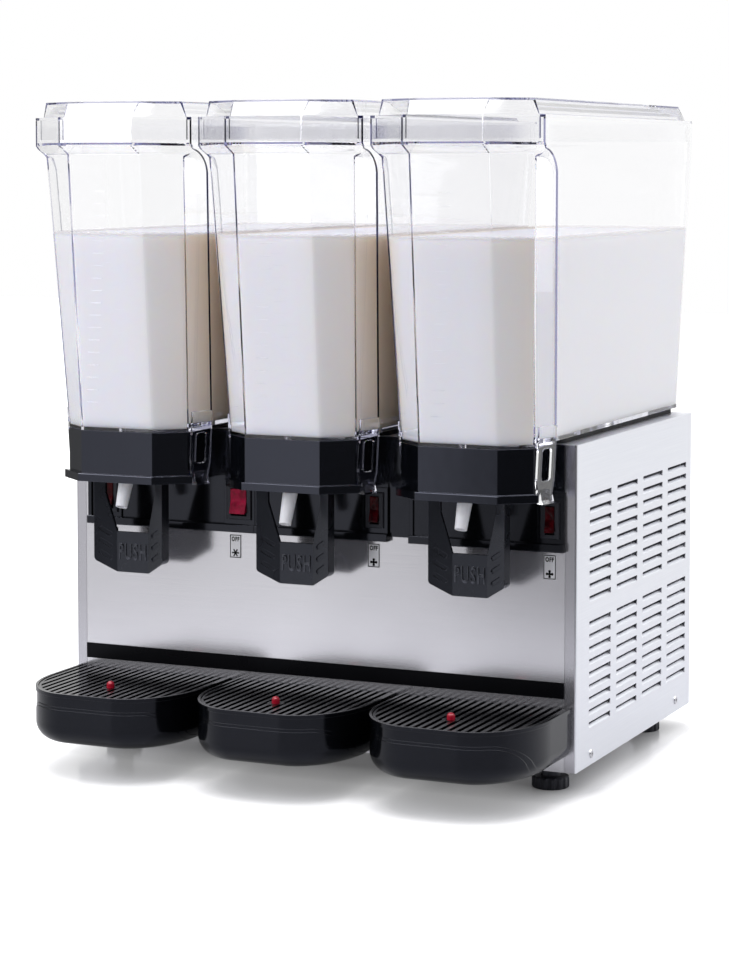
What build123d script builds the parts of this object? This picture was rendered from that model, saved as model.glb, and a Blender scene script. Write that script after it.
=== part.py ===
from build123d import *
import math
import os

os.makedirs("parts", exist_ok=True)

# Cold drink dispenser: three clear tanks side by side on one refrigerated cabinet.
# Lengths are millimetres. X runs to the right, Y to the back and Z up. While the pieces are drawn,
# Y is 0 on the front panel's face and Z is 0 on the cabinet's lower edge. Saving a piece moves it so
# that the origin lies on the counter, below the middle of the whole object.

# Fits that many pieces share
FIT = 0.3              # gap between pieces that are fitted together
SEAT = 0.2             # gap under a piece that rests on another
RUN = 0.08             # radial play of a pin in its bore
OVER = 1.0             # how far a cutter passes the face that it opens

# Cabinet of folded stainless sheet
TANK_COUNT = 3
PITCH = 190.0          # from tank to tank
CAB_D = 380.0
CAB_H = 328.0
FOOT_GAP = 23.5        # from the counter up to the cabinet
SHEET = 1.2
BEND = 2.0             # outer radius of a fold
RETURN = 12.0          # folded front and rear edges of a side panel
PAN_H = 24.0           # height of the base pan's walls
DECK_SKIRT = 14.0      # folded edge of the top deck
CAB_W = PITCH * TANK_COUNT
TANK_X = [PITCH * (i - (TANK_COUNT - 1) / 2) for i in range(TANK_COUNT)]
PANEL_HALF = CAB_W / 2 - RETURN - FIT     # front and rear panels lie between the returns

# Louvres: flaps cut free on three sides and pushed in about their lower edge
LOUVRE_FRONT = 38.7    # first slit, behind the front edge
LOUVRE_LEN = 66.0
LOUVRE_STEP_Y = 85.1
LOUVRE_REAR = 18.0     # least plain margin at the rear
LOUVRE_TOP = 53.5      # top row, below the upper edge
LOUVRE_LOW = 43.1      # bottom row, above the lower edge
LOUVRE_STEP_Z = 12.8
LOUVRE_H = 6.0
LOUVRE_DEPTH = 3.0     # flap's upper edge, behind the panel's face
LOUVRE_TIP = 2.6       # flap's upper edge, above its lower one

# Rear panel slots and mains inlet
VENT_LEN = 90.0
VENT_H = 5.0
VENT_STEP = 14.0
VENT_ROWS = 7
VENT_X = 110.0         # each column's middle, from the centre
VENT_Z = 110.0         # lowest row
INLET_W = 48.0
INLET_H = 28.0
INLET_DEEP = 26.0
INLET_RIM = 5.0
INLET_T = 2.0
INLET_EDGE = 60.0      # inlet's middle, in from the cabinet's side
INLET_Z = 56.0
INLET_PIN_W = 2.0
INLET_PIN_H = 6.0
INLET_PIN_STEP = 7.0
INLET_WALL = 3.0

# Levelling feet
FOOT_D = 38.0
FOOT_SIDE = 38.5       # foot's middle, in from the cabinet's side
FOOT_FRONT = 33.0
FOOT_REAR = 52.0
FOOT_DISC_H = 12.0
FOOT_COLLAR_D = 20.0   # neck between the disc and the cabinet
FOOT_STUD_D = 8.0
FOOT_STUD_H = 12.0     # stud above the pan's floor
FOOT_SCALLOPS = 14
FOOT_SCALLOP_R = 3.0
FOOT_ROUND = 2.0

# Bare black strip on the front panel
STRIP_Z = 74.3
STRIP_H = 16.0
STRIP_T = 1.2

# Tank: collar, chamfered nose, flutes and latch tabs
TANK_GAP = 7.6         # between neighbouring collars
WALL = 3.0
FLOOR = 4.0
FACE_HALF = 41.7       # half the flat front face, from the collar to the black skirt
COLLAR_FRONT = 122.0   # collar's face, ahead of the front panel
COLLAR_ANGLE = 37.7    # chamfers, turned back from the front face
TANK_H = 289.3         # from the tank's bottom to the collar
COLLAR_H = 26.1
SHOULDER_H = 8.7       # slope from the nose out to the collar
NOSE_FRONT_TOP = 104.0
NOSE_FRONT_LOW = 79.6
NOSE_ANGLE_TOP = 31.4
NOSE_ANGLE_LOW = 40.5
SIDE_DRAFT = 0.2       # side walls, inside the collar's sides at the shoulder
SIDE_TAPER = 10.2      # side walls, inside the collar's sides at the bottom
REAR_LEAN = 15.5       # rear rim, behind the cabinet's rear
REAR_ROUND = 14.0
SEAL_H = 5.8
SEAL_IN = 5.0          # seal's edge, inside the tank's bottom edge
FLUTE_IN = 10.0        # flute's front edge, inside the side wall
FLUTE_LOW = 35.0       # flute's length along the side
FLUTE_STEP = 4.0       # rear edge, ahead of where the flute's plane would meet the side wall
FLUTE_ARCH = 25.0      # arch from the tank's corner to the flute's rear edge, along the flute's plane
FLUTE_ARCH_H = 17.5
FLUTE_FLARE = 45.0     # the flute's ends open outwards
FLUTE_DROP = 12.0      # crown of the arch in the flute's plane, below the collar
TAB_W = 30.0
TAB_T = 2.5
TAB_DROP = 60.0        # tab, below the tank's bottom
TAB_NECK = 38.0        # where the tab starts to narrow, below the tank's bottom
TAB_END_W = 20.0
TAB_RISE = 16.0        # tab's root on the flute
TAB_ROOT = 1.2         # depth of the root in the tank's wall
TAB_LIP = 7.0          # thumb lip at the tab's end
TAB_LIP_H = 14.0
TAB_WINDOW_W = 16.0
TAB_WINDOW_H = 32.0
TAB_WINDOW_DROP = 6.0
TAB_WINDOW_ROUND = 4.0
SEAL_Z = CAB_H
TANK_Z = SEAL_Z + SEAL_H + SEAT
COLLAR_Z = TANK_Z + TANK_H
SHOULDER_Z = COLLAR_Z - SHOULDER_H
COLLAR_TOP = COLLAR_Z + COLLAR_H
COLLAR_HALF = (PITCH - TANK_GAP) / 2
REAR_TOP = CAB_D + REAR_LEAN

# Lid with a raised plateau and a lip inside the collar
LID_T = 2.4
LID_FLANGE = 2.6
LID_H = 18.6           # from the collar's top to the plateau
LID_FRONT_IN = 18.0    # plateau, inside the collar's outline at the front
LID_SIDE_IN = 11.6
LID_REAR_IN = 13.5
LID_ANGLE = 30.2
LID_EDGE = 7.5         # flat flange outside the plateau's foot
LID_LIP = 20.0
LID_LIP_T = 2.0
LID_LIP_IN = 3.4       # lip, inside the collar's wall

# Drink, evaporator and stirrer in each tank
DRINK_H = 199.0        # drink's level, above the tank's bottom
DRINK_GAP = 0.35
EVAP_D = 116.0
EVAP_RISE = 150.0      # dome above the deck
EVAP_ROUND = 16.0
EVAP_T = 2.0
EVAP_FLANGE = 9.0
EVAP_FLANGE_T = 2.5
EVAP_CLEAR = 3.0       # tank's floor and drink, around the evaporator
EVAP_STIR_GAP = 16.0
STIR_Y = 52.0
STIR_D = 70.0
STIR_HUB_D = 20.0
STIR_HUB_H = 16.0
STIR_BLADES = 4
STIR_BLADE_T = 3.0
STIR_BLADE_H = 13.0
STIR_PIN_D = 6.0
STIR_CLEAR = 3.0       # drink, around the turning blades
MOTOR_D = 62.0
MOTOR_H = 54.0
MOTOR_FLANGE = 8.0
MOTOR_FLANGE_T = 3.0
MOTOR_CAP_D = 30.0
MOTOR_CAP_H = 8.0
EVAP_Y = STIR_Y + STIR_D / 2 + EVAP_STIR_GAP + EVAP_D / 2
DRINK_Z = TANK_Z + DRINK_H

# Black front: fascia, tap panels and bowl seats
FASCIA_H = 47.0
PLATE_T = 3.0
TAP_DROP = 107.0       # tap panels' lower edge, below the cabinet's top
TAP_GAP = 24.0         # between neighbouring tap panels
TAP_END = 5.4          # first panel's left end, inside that reach
TAP_LEDGE_H = 8.5
TAP_LEDGE_OUT = 8.0
TAP_RIB = 4.0          # upright rib at each end of a tap panel
POD_OUT = 5.0          # switch pod's face, ahead of the front panel
POD_BORDER = 3.6
INFILL_T = 1.5
INFILL_RISE = 5.0      # infill's lower edge, above the tap panels' lower edge
SEAT_PROUD = 1.2       # bowl seat, above the cabinet
SEAT_H = 52.7
SEAT_WALL = 2.5
SEAT_ROOF = 4.0
SEAT_EDGE = 1.2        # rounded edges that catch the light
LEDGE_OUT = 4.4
LEDGE_H = 8.0
LEDGE_BACK = 55.0      # ledge's rear end, ahead of the front panel
TAB_RECESS = 3.5       # skirt's side is set in behind the latch tabs
FASCIA_Z = CAB_H - FASCIA_H
TAP_Z = CAB_H - TAP_DROP
SEAT_TOP = CAB_H + SEAT_PROUD
SEAT_Z = SEAT_TOP - SEAT_H

# Tap tube and push lever
TUBE_D = 15.5
TUBE_END_D = 12.2
TUBE_BORE = 8.0
TUBE_Y = 57.0          # upright stretch, ahead of the front panel
TUBE_BEND_DROP = 47.0  # bend, below the seat's top
TUBE_LEAN = 22.0
TUBE_BEND_R = 22.0
TUBE_NECK = 6.0        # full width below the bend, before the tube narrows
TUBE_LENGTHS = [35.0, 42.5, 37.0]    # leaning stretch, cut by hand
LEVER_HALF = 40.4
LEVER_FACE = 18.6      # half the flat centre face
LEVER_Y = 47.0         # centre face, ahead of the front panel
LEVER_CUP = 10.0       # how far the wings come forward to hold the cup
LEVER_SIDE = 15.0      # depth of a wing's side wall
LEVER_T = 3.5
LEVER_DROP = 41.0      # pivot, below the cabinet's top
LEVER_LONG = 109.0     # from the pivot to the lower end
LEVER_CHEVRON = 13.0   # rise of the lower edge towards the wings' ends
LEVER_CORNER = 5.0     # rounded lower corners of the wings
LEVER_FACE_H = 42.5
LEVER_V_RISE = 41.0    # slanted stretch of the opening above the face
LEVER_ARM = 11.0
LEVER_PIVOT_Y = 51.0
LEVER_BOSS = 5.5
LEVER_GROOVES = 3
LEVER_GROOVE_STEP = 12.5
LEVER_GROOVE_UP = 11.5
LEVER_GROOVE_W = 4.2
LEVER_GROOVE_DEPTH = 1.2
LEVER_GROOVE_END = 3.0  # plain margin at each end of a groove
PIN_D = 5.0
CHEEK_T = 3.5
CHEEK_GAP = 1.0
CHEEK_HALF = 10.0
PINCH_R = 3.0
PINCH_RISE = 13.0      # pinch bar, above the pivot
PINCH_GAP = 0.7        # bar to the tube
PINCH_ARM_T = 3.0
LEVER_SWING = 14.0     # full push
SPRING_WIRE = 1.2
SPRING_R = 3.8         # middle of the wire
SPRING_TURNS = 3       # whole turns
SPRING_STEP = 1.7      # from turn to turn
SPRING_LEG = 15.0
SPRING_SLACK = 2.0     # degrees between the lever's link and the spring's leg at a full push
SPRING_IN = 2.0        # spring, from the lever's boss
SPRING_STOP = 4.0      # thickness of the seat's rib that the fixed leg leans on
SPRING_STOP_UP = 9.0   # rib's lower end, above the pivot
LEVER_Z = CAB_H - LEVER_DROP
LEVER_LOW = LEVER_Z - LEVER_LONG

# Rocker switches: one wide, and a narrow one by each tap
ROCKER_OFF = 69.0      # narrow switch, right of its tank's middle
ROCKER_LEFT = 50.5     # first tap's narrow switch, left of its tank's middle
ROCKER_DROP = 75.0     # switches' middle, below the cabinet's top
NARROW_W = 20.0
WIDE_W = 28.8
BEZEL_H = 37.0
BEZEL_T = 2.0
BEZEL_SIDE = 5.0
BEZEL_END = 4.0
BODY_IN = 2.0          # switch body, inside the bezel's outline
BODY_DEEP = 18.0
WELL_DEEP = 9.0
ROCKER_PLAY = 0.4
ROCKER_H = 26.0
ROCKER_TILT = 16.0
ROCKER_PIVOT = 2.0     # pivot, behind the pod's face
ROCKER_OUT = 6.5
ROCKER_MID = 4.5
ROCKER_BACK = 1.0
ROCKER_BACK_H = 20.0
POD_SHIFT = 9.0        # wide switch, from the middle between the first two tanks
ROCKER_Z = CAB_H - ROCKER_DROP

# Drip trays, grilles and floats
TRAY_GAP = 7.4         # between neighbouring rims
TRAY_TOP = 66.0
TRAY_H = 54.0
TRAY_D = 149.5
TRAY_FLAT = 56.0       # flat front
TRAY_CORNER = 90.0     # length of a corner, front to back
TRAY_CLEAR = 0.4       # tray's rear, ahead of the front panel
TRAY_WALL = 3.0
TRAY_LIP = 1.2
TRAY_LIP_H = 4.0
TRAY_RIM = 3.0         # width of the rim round the grille
TRAY_SHELF = 3.2       # shelf under the grille
TRAY_ROUND = 18.0
TRAY_ROUND_IN = 12.0
ARCH_HALF = 86.0       # arched panel that stands a little proud on the tray's front
ARCH_DROP = 14.0
ARCH_ROUND = 28.0
ARCH_PROUD = 1.0
ARCH_STEP = 3.0        # width of the step round the panel
TONGUE_W = 16.0
TONGUE_T = 3.0
TONGUE_LEN = 7.0
TONGUE_X = 55.0
TONGUE_DROP = 22.0     # tongue, below the rim
GRILLE_H = 5.0
GRILLE_SINK = 1.0
GRILLE_FIT = 0.5
GRILLE_RING = 2.6
GRILLE_STEP = 9.0
GRILLE_SLOT = 4.6
GRILLE_REAR = 1.2
GRILLE_BAR = 4.0       # cross bars below the slotted plate
GRILLE_BAR_H = 3.0
GRILLE_BAR_Y = [16.0, 66.0]
FLOAT_Y = 95.0
FLOAT_STEM_D = 8.0
FLOAT_D = 28.0
FLOAT_H = 12.0
FLOAT_PROUD = 6.0      # tip, above the rim
FLOAT_FIT = 0.8
FLOAT_RING = 4.0
TRAY_HALF = (PITCH - TRAY_GAP) / 2
TRAY_Z = TRAY_TOP - TRAY_H
GRILLE_Z = TRAY_TOP - GRILLE_SINK - GRILLE_H

# Refrigeration in the cabinet
COMP_X = 110.0         # compressor, left of the centre
COMP_D = 146.0
COMP_H = 168.0
COMP_T = 5.0
COMP_ROUND = 38.0
COMP_SEAM = 4.0
COMP_SEAM_H = 6.0
COMP_BASE_T = 4.0
COMP_BASE_W = 170.0
COND_SIDE = 30.0       # condenser, in from the cabinet's right side
COND_T = 44.0
COND_L = 200.0
COND_H = 200.0
COND_FINS = 9
COND_FIN_T = 2.0
COND_TUBE_D = 9.0
COND_TUBES = 3
FAN_GAP = 6.0          # shroud, from the condenser
FAN_D = 140.0
FAN_TIP = 4.0
FAN_HUB_D = 44.0
FAN_HUB_H = 26.0
FAN_BLADES = 5
FAN_BLADE_T = 2.0
FAN_BLADE_C = 40.0
FAN_PITCH = 32.0
FAN_RING_T = 2.0
FAN_RING_H = 30.0
FAN_Z = 118.0
FAN_SHAFT_D = 6.0
FAN_MOTOR_D = 44.0
FAN_MOTOR_H = 40.0
FAN_MOTOR_GAP = 6.0
FAN_STRUT = 6.0
FAN_STRUTS = 3
FAN_END = 2.0
PLATE_MARGIN = 14.0    # shroud's plate round its ring
LINE_D = 9.0
HEADER_DROP = 26.0     # suction header, below the deck
HOT_LINE_Z = 12.0

# The object's middle, front to back, which becomes the origin
ORIGIN_Y = (REAR_TOP - TRAY_D) / 2


def block(x0, x1, y0, y1, z0, z1):
    """A box between two corners."""
    return Pos((x0 + x1) / 2, (y0 + y1) / 2, (z0 + z1) / 2) * Box(x1 - x0, y1 - y0, z1 - z0)


def outline(points):
    """A flat face inside a closed row of points."""
    return make_face(Polyline(*points, close=True))


def rise(face, z0, z1):
    """A plan drawn up from one height to another."""
    return Pos(0, 0, z0) * extrude(face, z1 - z0)


def across_x(points, x0, x1):
    """A side view, given as Y and Z, drawn from one X to another."""
    return Pos(x0, 0, 0) * extrude(Plane.YZ * outline(points), x1 - x0)


def along_y(face, y0, y1):
    """A front view, given as X and Z, drawn back from one Y to another."""
    return Pos(0, y0, 0) * extrude(Plane.XZ * face, y0 - y1)


def rod_x(radius, x0, x1, y, z):
    """A round bar along X."""
    return Pos((x0 + x1) / 2, y, z) * Rot(0, 90, 0) * Cylinder(radius, x1 - x0)


def rod_z(radius, x, y, z0, z1):
    """A round bar along Z."""
    return Pos(x, y, (z0 + z1) / 2) * Cylinder(radius, z1 - z0)


def both_sides(piece):
    """A right-hand piece and its mirror image."""
    return piece + mirror(piece, about=Plane.YZ)


def save(name, *pieces):
    """Moves the pieces to the object's own origin and writes them as one named node."""
    place = Pos(0, -ORIGIN_Y, FOOT_GAP)
    solids = [place * solid for piece in pieces for solid in piece.solids()]
    whole = solids[0] if len(solids) == 1 else Compound(children=solids)
    export_step(whole, f"parts/{name}.step")


# Cabinet

def side_panel():
    """Right side: sheet folded round the front and rear, with two banks of louvre flaps."""
    out = CAB_W / 2
    inner = out - SHEET
    tip = out - RETURN
    channel = outline([
        (tip, 0), (out, 0), (out, CAB_D), (tip, CAB_D),
        (tip, CAB_D - SHEET), (inner, CAB_D - SHEET), (inner, SHEET), (tip, SHEET),
    ])
    panel = rise(channel, 0, CAB_H)
    panel = fillet(panel.edges().filter_by(Axis.Z).group_by(Axis.X)[-1], BEND)
    columns = int((CAB_D - LOUVRE_FRONT - LOUVRE_REAR - LOUVRE_LEN) / LOUVRE_STEP_Y) + 1
    rows = int((CAB_H - LOUVRE_TOP - LOUVRE_LOW) / LOUVRE_STEP_Z) + 1
    slope = LOUVRE_TIP / LOUVRE_DEPTH
    thick = SHEET * math.hypot(1, slope)
    windows = []
    flaps = []
    for row in range(rows):
        if row == rows // 2:
            continue        # one row is left out between the two banks
        top = CAB_H - LOUVRE_TOP - row * LOUVRE_STEP_Z
        low = top - LOUVRE_H
        edge = out - LOUVRE_DEPTH
        flap = outline([
            (out, low), (edge, low + LOUVRE_TIP), (edge, low + LOUVRE_TIP - thick),
            (inner, low + SHEET * slope - thick),
        ])
        for column in range(columns):
            front = LOUVRE_FRONT + column * LOUVRE_STEP_Y
            rear = front + LOUVRE_LEN
            windows.append(block(inner - OVER, out + OVER, front, rear, low, top))
            flaps.append(along_y(flap, front + FIT, rear - FIT))
    return panel - windows + flaps


def foot_places():
    """The four feet's middles."""
    x = CAB_W / 2 - FOOT_SIDE
    return [(-x, FOOT_FRONT), (x, FOOT_FRONT), (-x, CAB_D - FOOT_REAR), (x, CAB_D - FOOT_REAR)]


def base_pan():
    """Folded pan that carries the machinery and the feet."""
    half = CAB_W / 2 - SHEET - FIT
    front = SHEET + FIT
    rear = CAB_D - SHEET - FIT
    pan = block(-half, half, front, rear, 0, PAN_H)
    pan -= block(-half + SHEET, half - SHEET, front + SHEET, rear - SHEET, SHEET, PAN_H + OVER)
    holes = [rod_z(FOOT_STUD_D / 2 + FIT, x, y, -OVER, SHEET + OVER) for x, y in foot_places()]
    return pan - holes


def foot(x, y):
    """Moulded foot with a scalloped edge, turned on its stud to level the cabinet."""
    shoulder = FOOT_DISC_H - FOOT_GAP
    disc = rod_z(FOOT_D / 2, x, y, -FOOT_GAP, shoulder)
    disc = fillet(disc.edges(), FOOT_ROUND)
    ring = PolarLocations(FOOT_D / 2 + FOOT_SCALLOP_R / 2, FOOT_SCALLOPS)
    bite = Cylinder(FOOT_SCALLOP_R, FOOT_GAP * 2)
    disc -= [Pos(x, y, 0) * spot * bite for spot in ring]
    collar = rod_z(FOOT_COLLAR_D / 2, x, y, shoulder - OVER, -FIT)
    stud = rod_z(FOOT_STUD_D / 2, x, y, shoulder - OVER, SHEET + FOOT_STUD_H)
    return disc + collar + stud


def front_panel():
    """Stainless sheet with cut-outs for the switch bodies and slots for the trays' tongues."""
    panel = block(-PANEL_HALF, PANEL_HALF, 0, SHEET, 0, CAB_H)
    cuts = [switch_cut(x, width) for x, width in switches()]
    z = TRAY_TOP - TONGUE_DROP
    for tank in TANK_X:
        for x in (tank - TONGUE_X, tank + TONGUE_X):
            half = TONGUE_W / 2 + FIT
            cuts.append(block(x - half, x + half, -OVER, SHEET + OVER, z - TONGUE_T - FIT, z + FIT))
    return panel - cuts


def rear_panel():
    """Plain sheet with two columns of round-ended slots and the inlet's cut-out."""
    panel = block(-PANEL_HALF, PANEL_HALF, CAB_D - SHEET, CAB_D, 0, CAB_H)
    slot = SlotOverall(VENT_LEN, VENT_H)
    face = Sketch() + [
        Pos(x, VENT_Z + row * VENT_STEP) * slot for x in (-VENT_X, VENT_X) for row in range(VENT_ROWS)
    ]
    x = inlet_x()
    cut_w = INLET_W / 2 + FIT
    cut_h = INLET_H / 2 + FIT
    rear = CAB_D + OVER
    cut = block(x - cut_w, x + cut_w, CAB_D - SHEET - OVER, rear, INLET_Z - cut_h, INLET_Z + cut_h)
    return panel - along_y(face, CAB_D - SHEET - OVER, rear) - cut


def inlet_x():
    """Mains inlet's middle, on the left seen from the front."""
    return -CAB_W / 2 + INLET_EDGE


def power_inlet():
    """Mains inlet socket: a rimmed housing with three blades in its well."""
    x = inlet_x()
    half = INLET_W / 2
    tall = INLET_H / 2
    floor = CAB_D - INLET_DEEP + INLET_WALL
    rim_w = half + INLET_RIM
    rim_h = tall + INLET_RIM
    rim = block(x - rim_w, x + rim_w, CAB_D, CAB_D + INLET_T, INLET_Z - rim_h, INLET_Z + rim_h)
    rim = fillet(rim.edges().filter_by(Axis.Y), INLET_RIM)
    body = block(x - half, x + half, CAB_D - INLET_DEEP, CAB_D + SEAT, INLET_Z - tall, INLET_Z + tall)
    well_w = half - INLET_WALL
    well_h = tall - INLET_WALL
    rear = CAB_D + INLET_T
    well = block(x - well_w, x + well_w, floor, rear + OVER, INLET_Z - well_h, INLET_Z + well_h)
    pins = []
    for step in (-1, 0, 1):
        pin_x = x + step * INLET_PIN_STEP
        pin_w = INLET_PIN_W / 2
        pin_h = INLET_PIN_H / 2
        pins.append(block(pin_x - pin_w, pin_x + pin_w, floor - OVER, CAB_D - SHEET,
                          INLET_Z - pin_h, INLET_Z + pin_h))
    return rim + body - well + pins


def top_deck():
    """Folded deck under the tanks, pierced for the evaporators."""
    half = CAB_W / 2 - SHEET - FIT
    front = SHEET + FIT
    rear = CAB_D - SHEET - FIT
    low = CAB_H - DECK_SKIRT
    deck = block(-half, half, front, rear, low, CAB_H)
    deck -= block(-half + SHEET, half - SHEET, front + SHEET, rear - SHEET, low - OVER, CAB_H - SHEET)
    hole = EVAP_D / 2 + FIT
    return deck - [rod_z(hole, x, EVAP_Y, CAB_H - SHEET - OVER, CAB_H + OVER) for x in TANK_X]


def front_strip():
    """Bare black strip along the front panel."""
    return block(-PANEL_HALF, PANEL_HALF, -STRIP_T, 0, STRIP_Z, STRIP_Z + STRIP_H)


# Tanks, lids and what is in them

def plan(front, half, angle, side, rear, inset=0.0):
    """Corner points in plan: flat face, two chamfers turned back by an angle, sides and rear.
    A positive inset draws every edge inwards by that much."""
    turn = math.radians(angle)
    chamfer_y = front + (side - half) * math.tan(turn)
    face = half - inset * math.tan(turn / 2)
    edge = side - inset
    corner_y = chamfer_y + inset * (1 / math.cos(turn) - math.tan(turn))
    ahead = front + inset
    behind = rear - inset
    return [
        (-face, ahead), (face, ahead), (edge, corner_y), (edge, behind), (-edge, behind), (-edge, corner_y),
    ]


def with_round_rear(points, radius):
    """The face in those points, with its two rear corners rounded."""
    face = outline(points)
    return fillet(face.vertices().group_by(Axis.Y)[-1], radius)


def between(low, high, share):
    """The value a share of the way from one to another."""
    return low + (high - low) * share


def body_plan(z, inset=0.0):
    """Tank's wall at a height: it narrows and leans in from the shoulder down to the bottom."""
    share = (z - TANK_Z) / (SHOULDER_Z - TANK_Z)
    low = plan(-NOSE_FRONT_LOW, FACE_HALF, NOSE_ANGLE_LOW, COLLAR_HALF - SIDE_TAPER, CAB_D, inset)
    top = plan(-NOSE_FRONT_TOP, FACE_HALF, NOSE_ANGLE_TOP, COLLAR_HALF - SIDE_DRAFT, REAR_TOP, inset)
    points = [(between(a, c, share), between(b, d, share)) for (a, b), (c, d) in zip(low, top)]
    return Pos(0, 0, z) * with_round_rear(points, REAR_ROUND - inset)


def collar_plan(z, inset=0.0):
    """Collar's outline, drawn in by inset."""
    points = plan(-COLLAR_FRONT, FACE_HALF, COLLAR_ANGLE, COLLAR_HALF, REAR_TOP, inset)
    return Pos(0, 0, z) * with_round_rear(points, REAR_ROUND - inset)


def nose_point(x, front, angle, z):
    """The point of a nose's right-hand chamfer at a distance from the middle."""
    return Vector(x, front + (x - FACE_HALF) * math.tan(math.radians(angle)), z)


def flute_plane(inset=0.0):
    """Right-hand flute: the slanted plane across the corner between the nose and the side wall."""
    low_x = COLLAR_HALF - SIDE_TAPER
    top_x = COLLAR_HALF - SIDE_DRAFT
    front = nose_point(low_x - FLUTE_IN, -NOSE_FRONT_LOW, NOSE_ANGLE_LOW, TANK_Z)
    across = Vector(FLUTE_IN, FLUTE_LOW + FLUTE_STEP, 0)
    up = nose_point(top_x - FLUTE_IN, -NOSE_FRONT_TOP, NOSE_ANGLE_TOP, SHOULDER_Z) - front
    normal = across.cross(up).normalized()
    return Plane(origin=front - normal * inset, x_dir=across, z_dir=normal)


def flute_cut(inset=0.0):
    """Cutter for the right-hand flute, open ahead and below. It flares outwards, so that its arch falls
    from under the collar's corner to the flute's rear edge."""
    plane = flute_plane(inset)
    corner = nose_point(COLLAR_HALF - SIDE_DRAFT, -NOSE_FRONT_TOP, NOSE_ANGLE_TOP, SHOULDER_Z)
    middle = (corner - plane.origin).dot(plane.x_dir)
    springing = (TANK_H - FLUTE_DROP) / plane.y_dir.Z - FLUTE_ARCH_H
    rear = math.hypot(FLUTE_IN, FLUTE_LOW)
    flare = math.radians(FLUTE_FLARE)

    def mouth(out):
        spread = inset * math.tan(flare / 2) + out * math.tan(flare)
        end = middle + FLUTE_ARCH + spread
        crown = springing + FLUTE_ARCH_H + spread
        ahead = middle - FLUTE_LOW
        arch = EllipticalCenterArc((middle, springing), end - middle, crown - springing, arc_size=90)
        rest = Polyline((middle, crown), (ahead, crown), (ahead, -FLUTE_LOW), (rear + spread, -FLUTE_LOW),
                        (end, springing))
        return plane.offset(out) * make_face(arch + rest)

    return loft([mouth(0), mouth(FLUTE_LOW)], ruled=True)


def tank_wall(inset, low, top):
    """The tank's wall between two heights, drawn in by inset, before the flutes are cut."""
    return loft([body_plan(low, inset), body_plan(top, inset)], ruled=True)


def tank_form(inset, low):
    """The fluted wall and shoulder, drawn in by inset. The shoulder then lies higher by as much."""
    bend = SHOULDER_Z + inset
    shoulder = loft([body_plan(bend, inset), collar_plan(COLLAR_Z + inset, inset)], ruled=True)
    return tank_wall(inset, low, bend) + shoulder - both_sides(flute_cut(inset))


def latch_tab():
    """Right-hand latch tab: a clear strip hung from the flute, with a window and a narrow thumb lip."""
    face = flute_plane()
    centre = math.hypot(FLUTE_IN, FLUTE_LOW) / 2
    root = Pos(0, TAB_RISE / 2, (TAB_T - TAB_ROOT) / 2) * Box(TAB_W, TAB_RISE, TAB_T + TAB_ROOT)
    half = TAB_W / 2
    tip = TAB_END_W / 2
    end = -TAB_DROP
    shape = outline([(-half, 0), (half, 0), (half, -TAB_NECK), (tip, end), (-tip, end), (-half, -TAB_NECK)])
    window = RectangleRounded(TAB_WINDOW_W, TAB_WINDOW_H, TAB_WINDOW_ROUND)
    shape -= Pos(0, -TAB_WINDOW_DROP - TAB_WINDOW_H / 2) * window
    lip_top = end + TAB_LIP_H
    lip_side = [(end, 0), (end, TAB_LIP), (lip_top, TAB_T), (lip_top, 0)]
    lip = Pos(-tip, 0, 0) * extrude(Plane.YZ * outline(lip_side), TAB_END_W)
    return face.location * Pos(centre, 0, 0) * (root + extrude(shape, TAB_T) + lip)


def nose_plan(inset=0.0):
    """Outline of the tank's sump, which stands on the black seat, drawn in by inset."""
    return outline(plan(-NOSE_FRONT_LOW, FACE_HALF, NOSE_ANGLE_LOW, skirt_half(), -PLATE_T - FIT, inset))


def sump_floor():
    """Height of the sump's floor, which feeds the tap."""
    return SEAT_TOP + FIT + WALL


def tank():
    """Clear moulded tank, open at the top, holed in its floor for the evaporator and the tap."""
    floor = TANK_Z + FLOOR
    outer = tank_form(0, TANK_Z) + extrude(collar_plan(COLLAR_Z), COLLAR_H)
    inner = tank_form(WALL, floor) + extrude(collar_plan(COLLAR_Z + WALL, WALL), COLLAR_H)
    shell = outer - inner
    shell += rise(nose_plan(), SEAT_TOP + FIT, TANK_Z + SEAT)
    shell -= rise(nose_plan(WALL), sump_floor(), floor + OVER)
    shell += both_sides(latch_tab())
    shell += rod_z(STIR_PIN_D / 2, 0, STIR_Y, floor - SEAT, floor + STIR_HUB_H)
    shell -= rod_z(EVAP_D / 2 + EVAP_CLEAR, 0, EVAP_Y, TANK_Z - OVER, floor + OVER)
    return shell - rod_z(TUBE_BORE / 2, 0, -TUBE_Y, SEAT_TOP - OVER, floor + OVER)


def lid():
    """Clear lid: flat flange, raised plateau with sloped sides, and a lip inside the collar."""
    low = COLLAR_TOP + SEAT
    top = COLLAR_TOP + LID_H

    def plateau(inset):
        points = plan(-COLLAR_FRONT + LID_FRONT_IN, FACE_HALF, LID_ANGLE, COLLAR_HALF - LID_SIDE_IN,
                      REAR_TOP - LID_REAR_IN, inset)
        return with_round_rear(points, REAR_ROUND - inset)

    lip = WALL + LID_LIP_IN
    bore = lip + LID_LIP_T
    flange_top = low + LID_FLANGE
    cover = extrude(collar_plan(low), LID_FLANGE)
    cover += loft([collar_plan(flange_top, LID_EDGE), Pos(0, 0, top) * plateau(0)], ruled=True)
    cover += extrude(collar_plan(low - LID_LIP, lip), LID_LIP + SEAT)
    hollow = extrude(collar_plan(low - LID_LIP - OVER, bore), LID_LIP + OVER + LID_FLANGE)
    hollow += loft([collar_plan(flange_top, bore), Pos(0, 0, top - LID_T) * plateau(LID_T)], ruled=True)
    return cover - hollow


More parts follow.
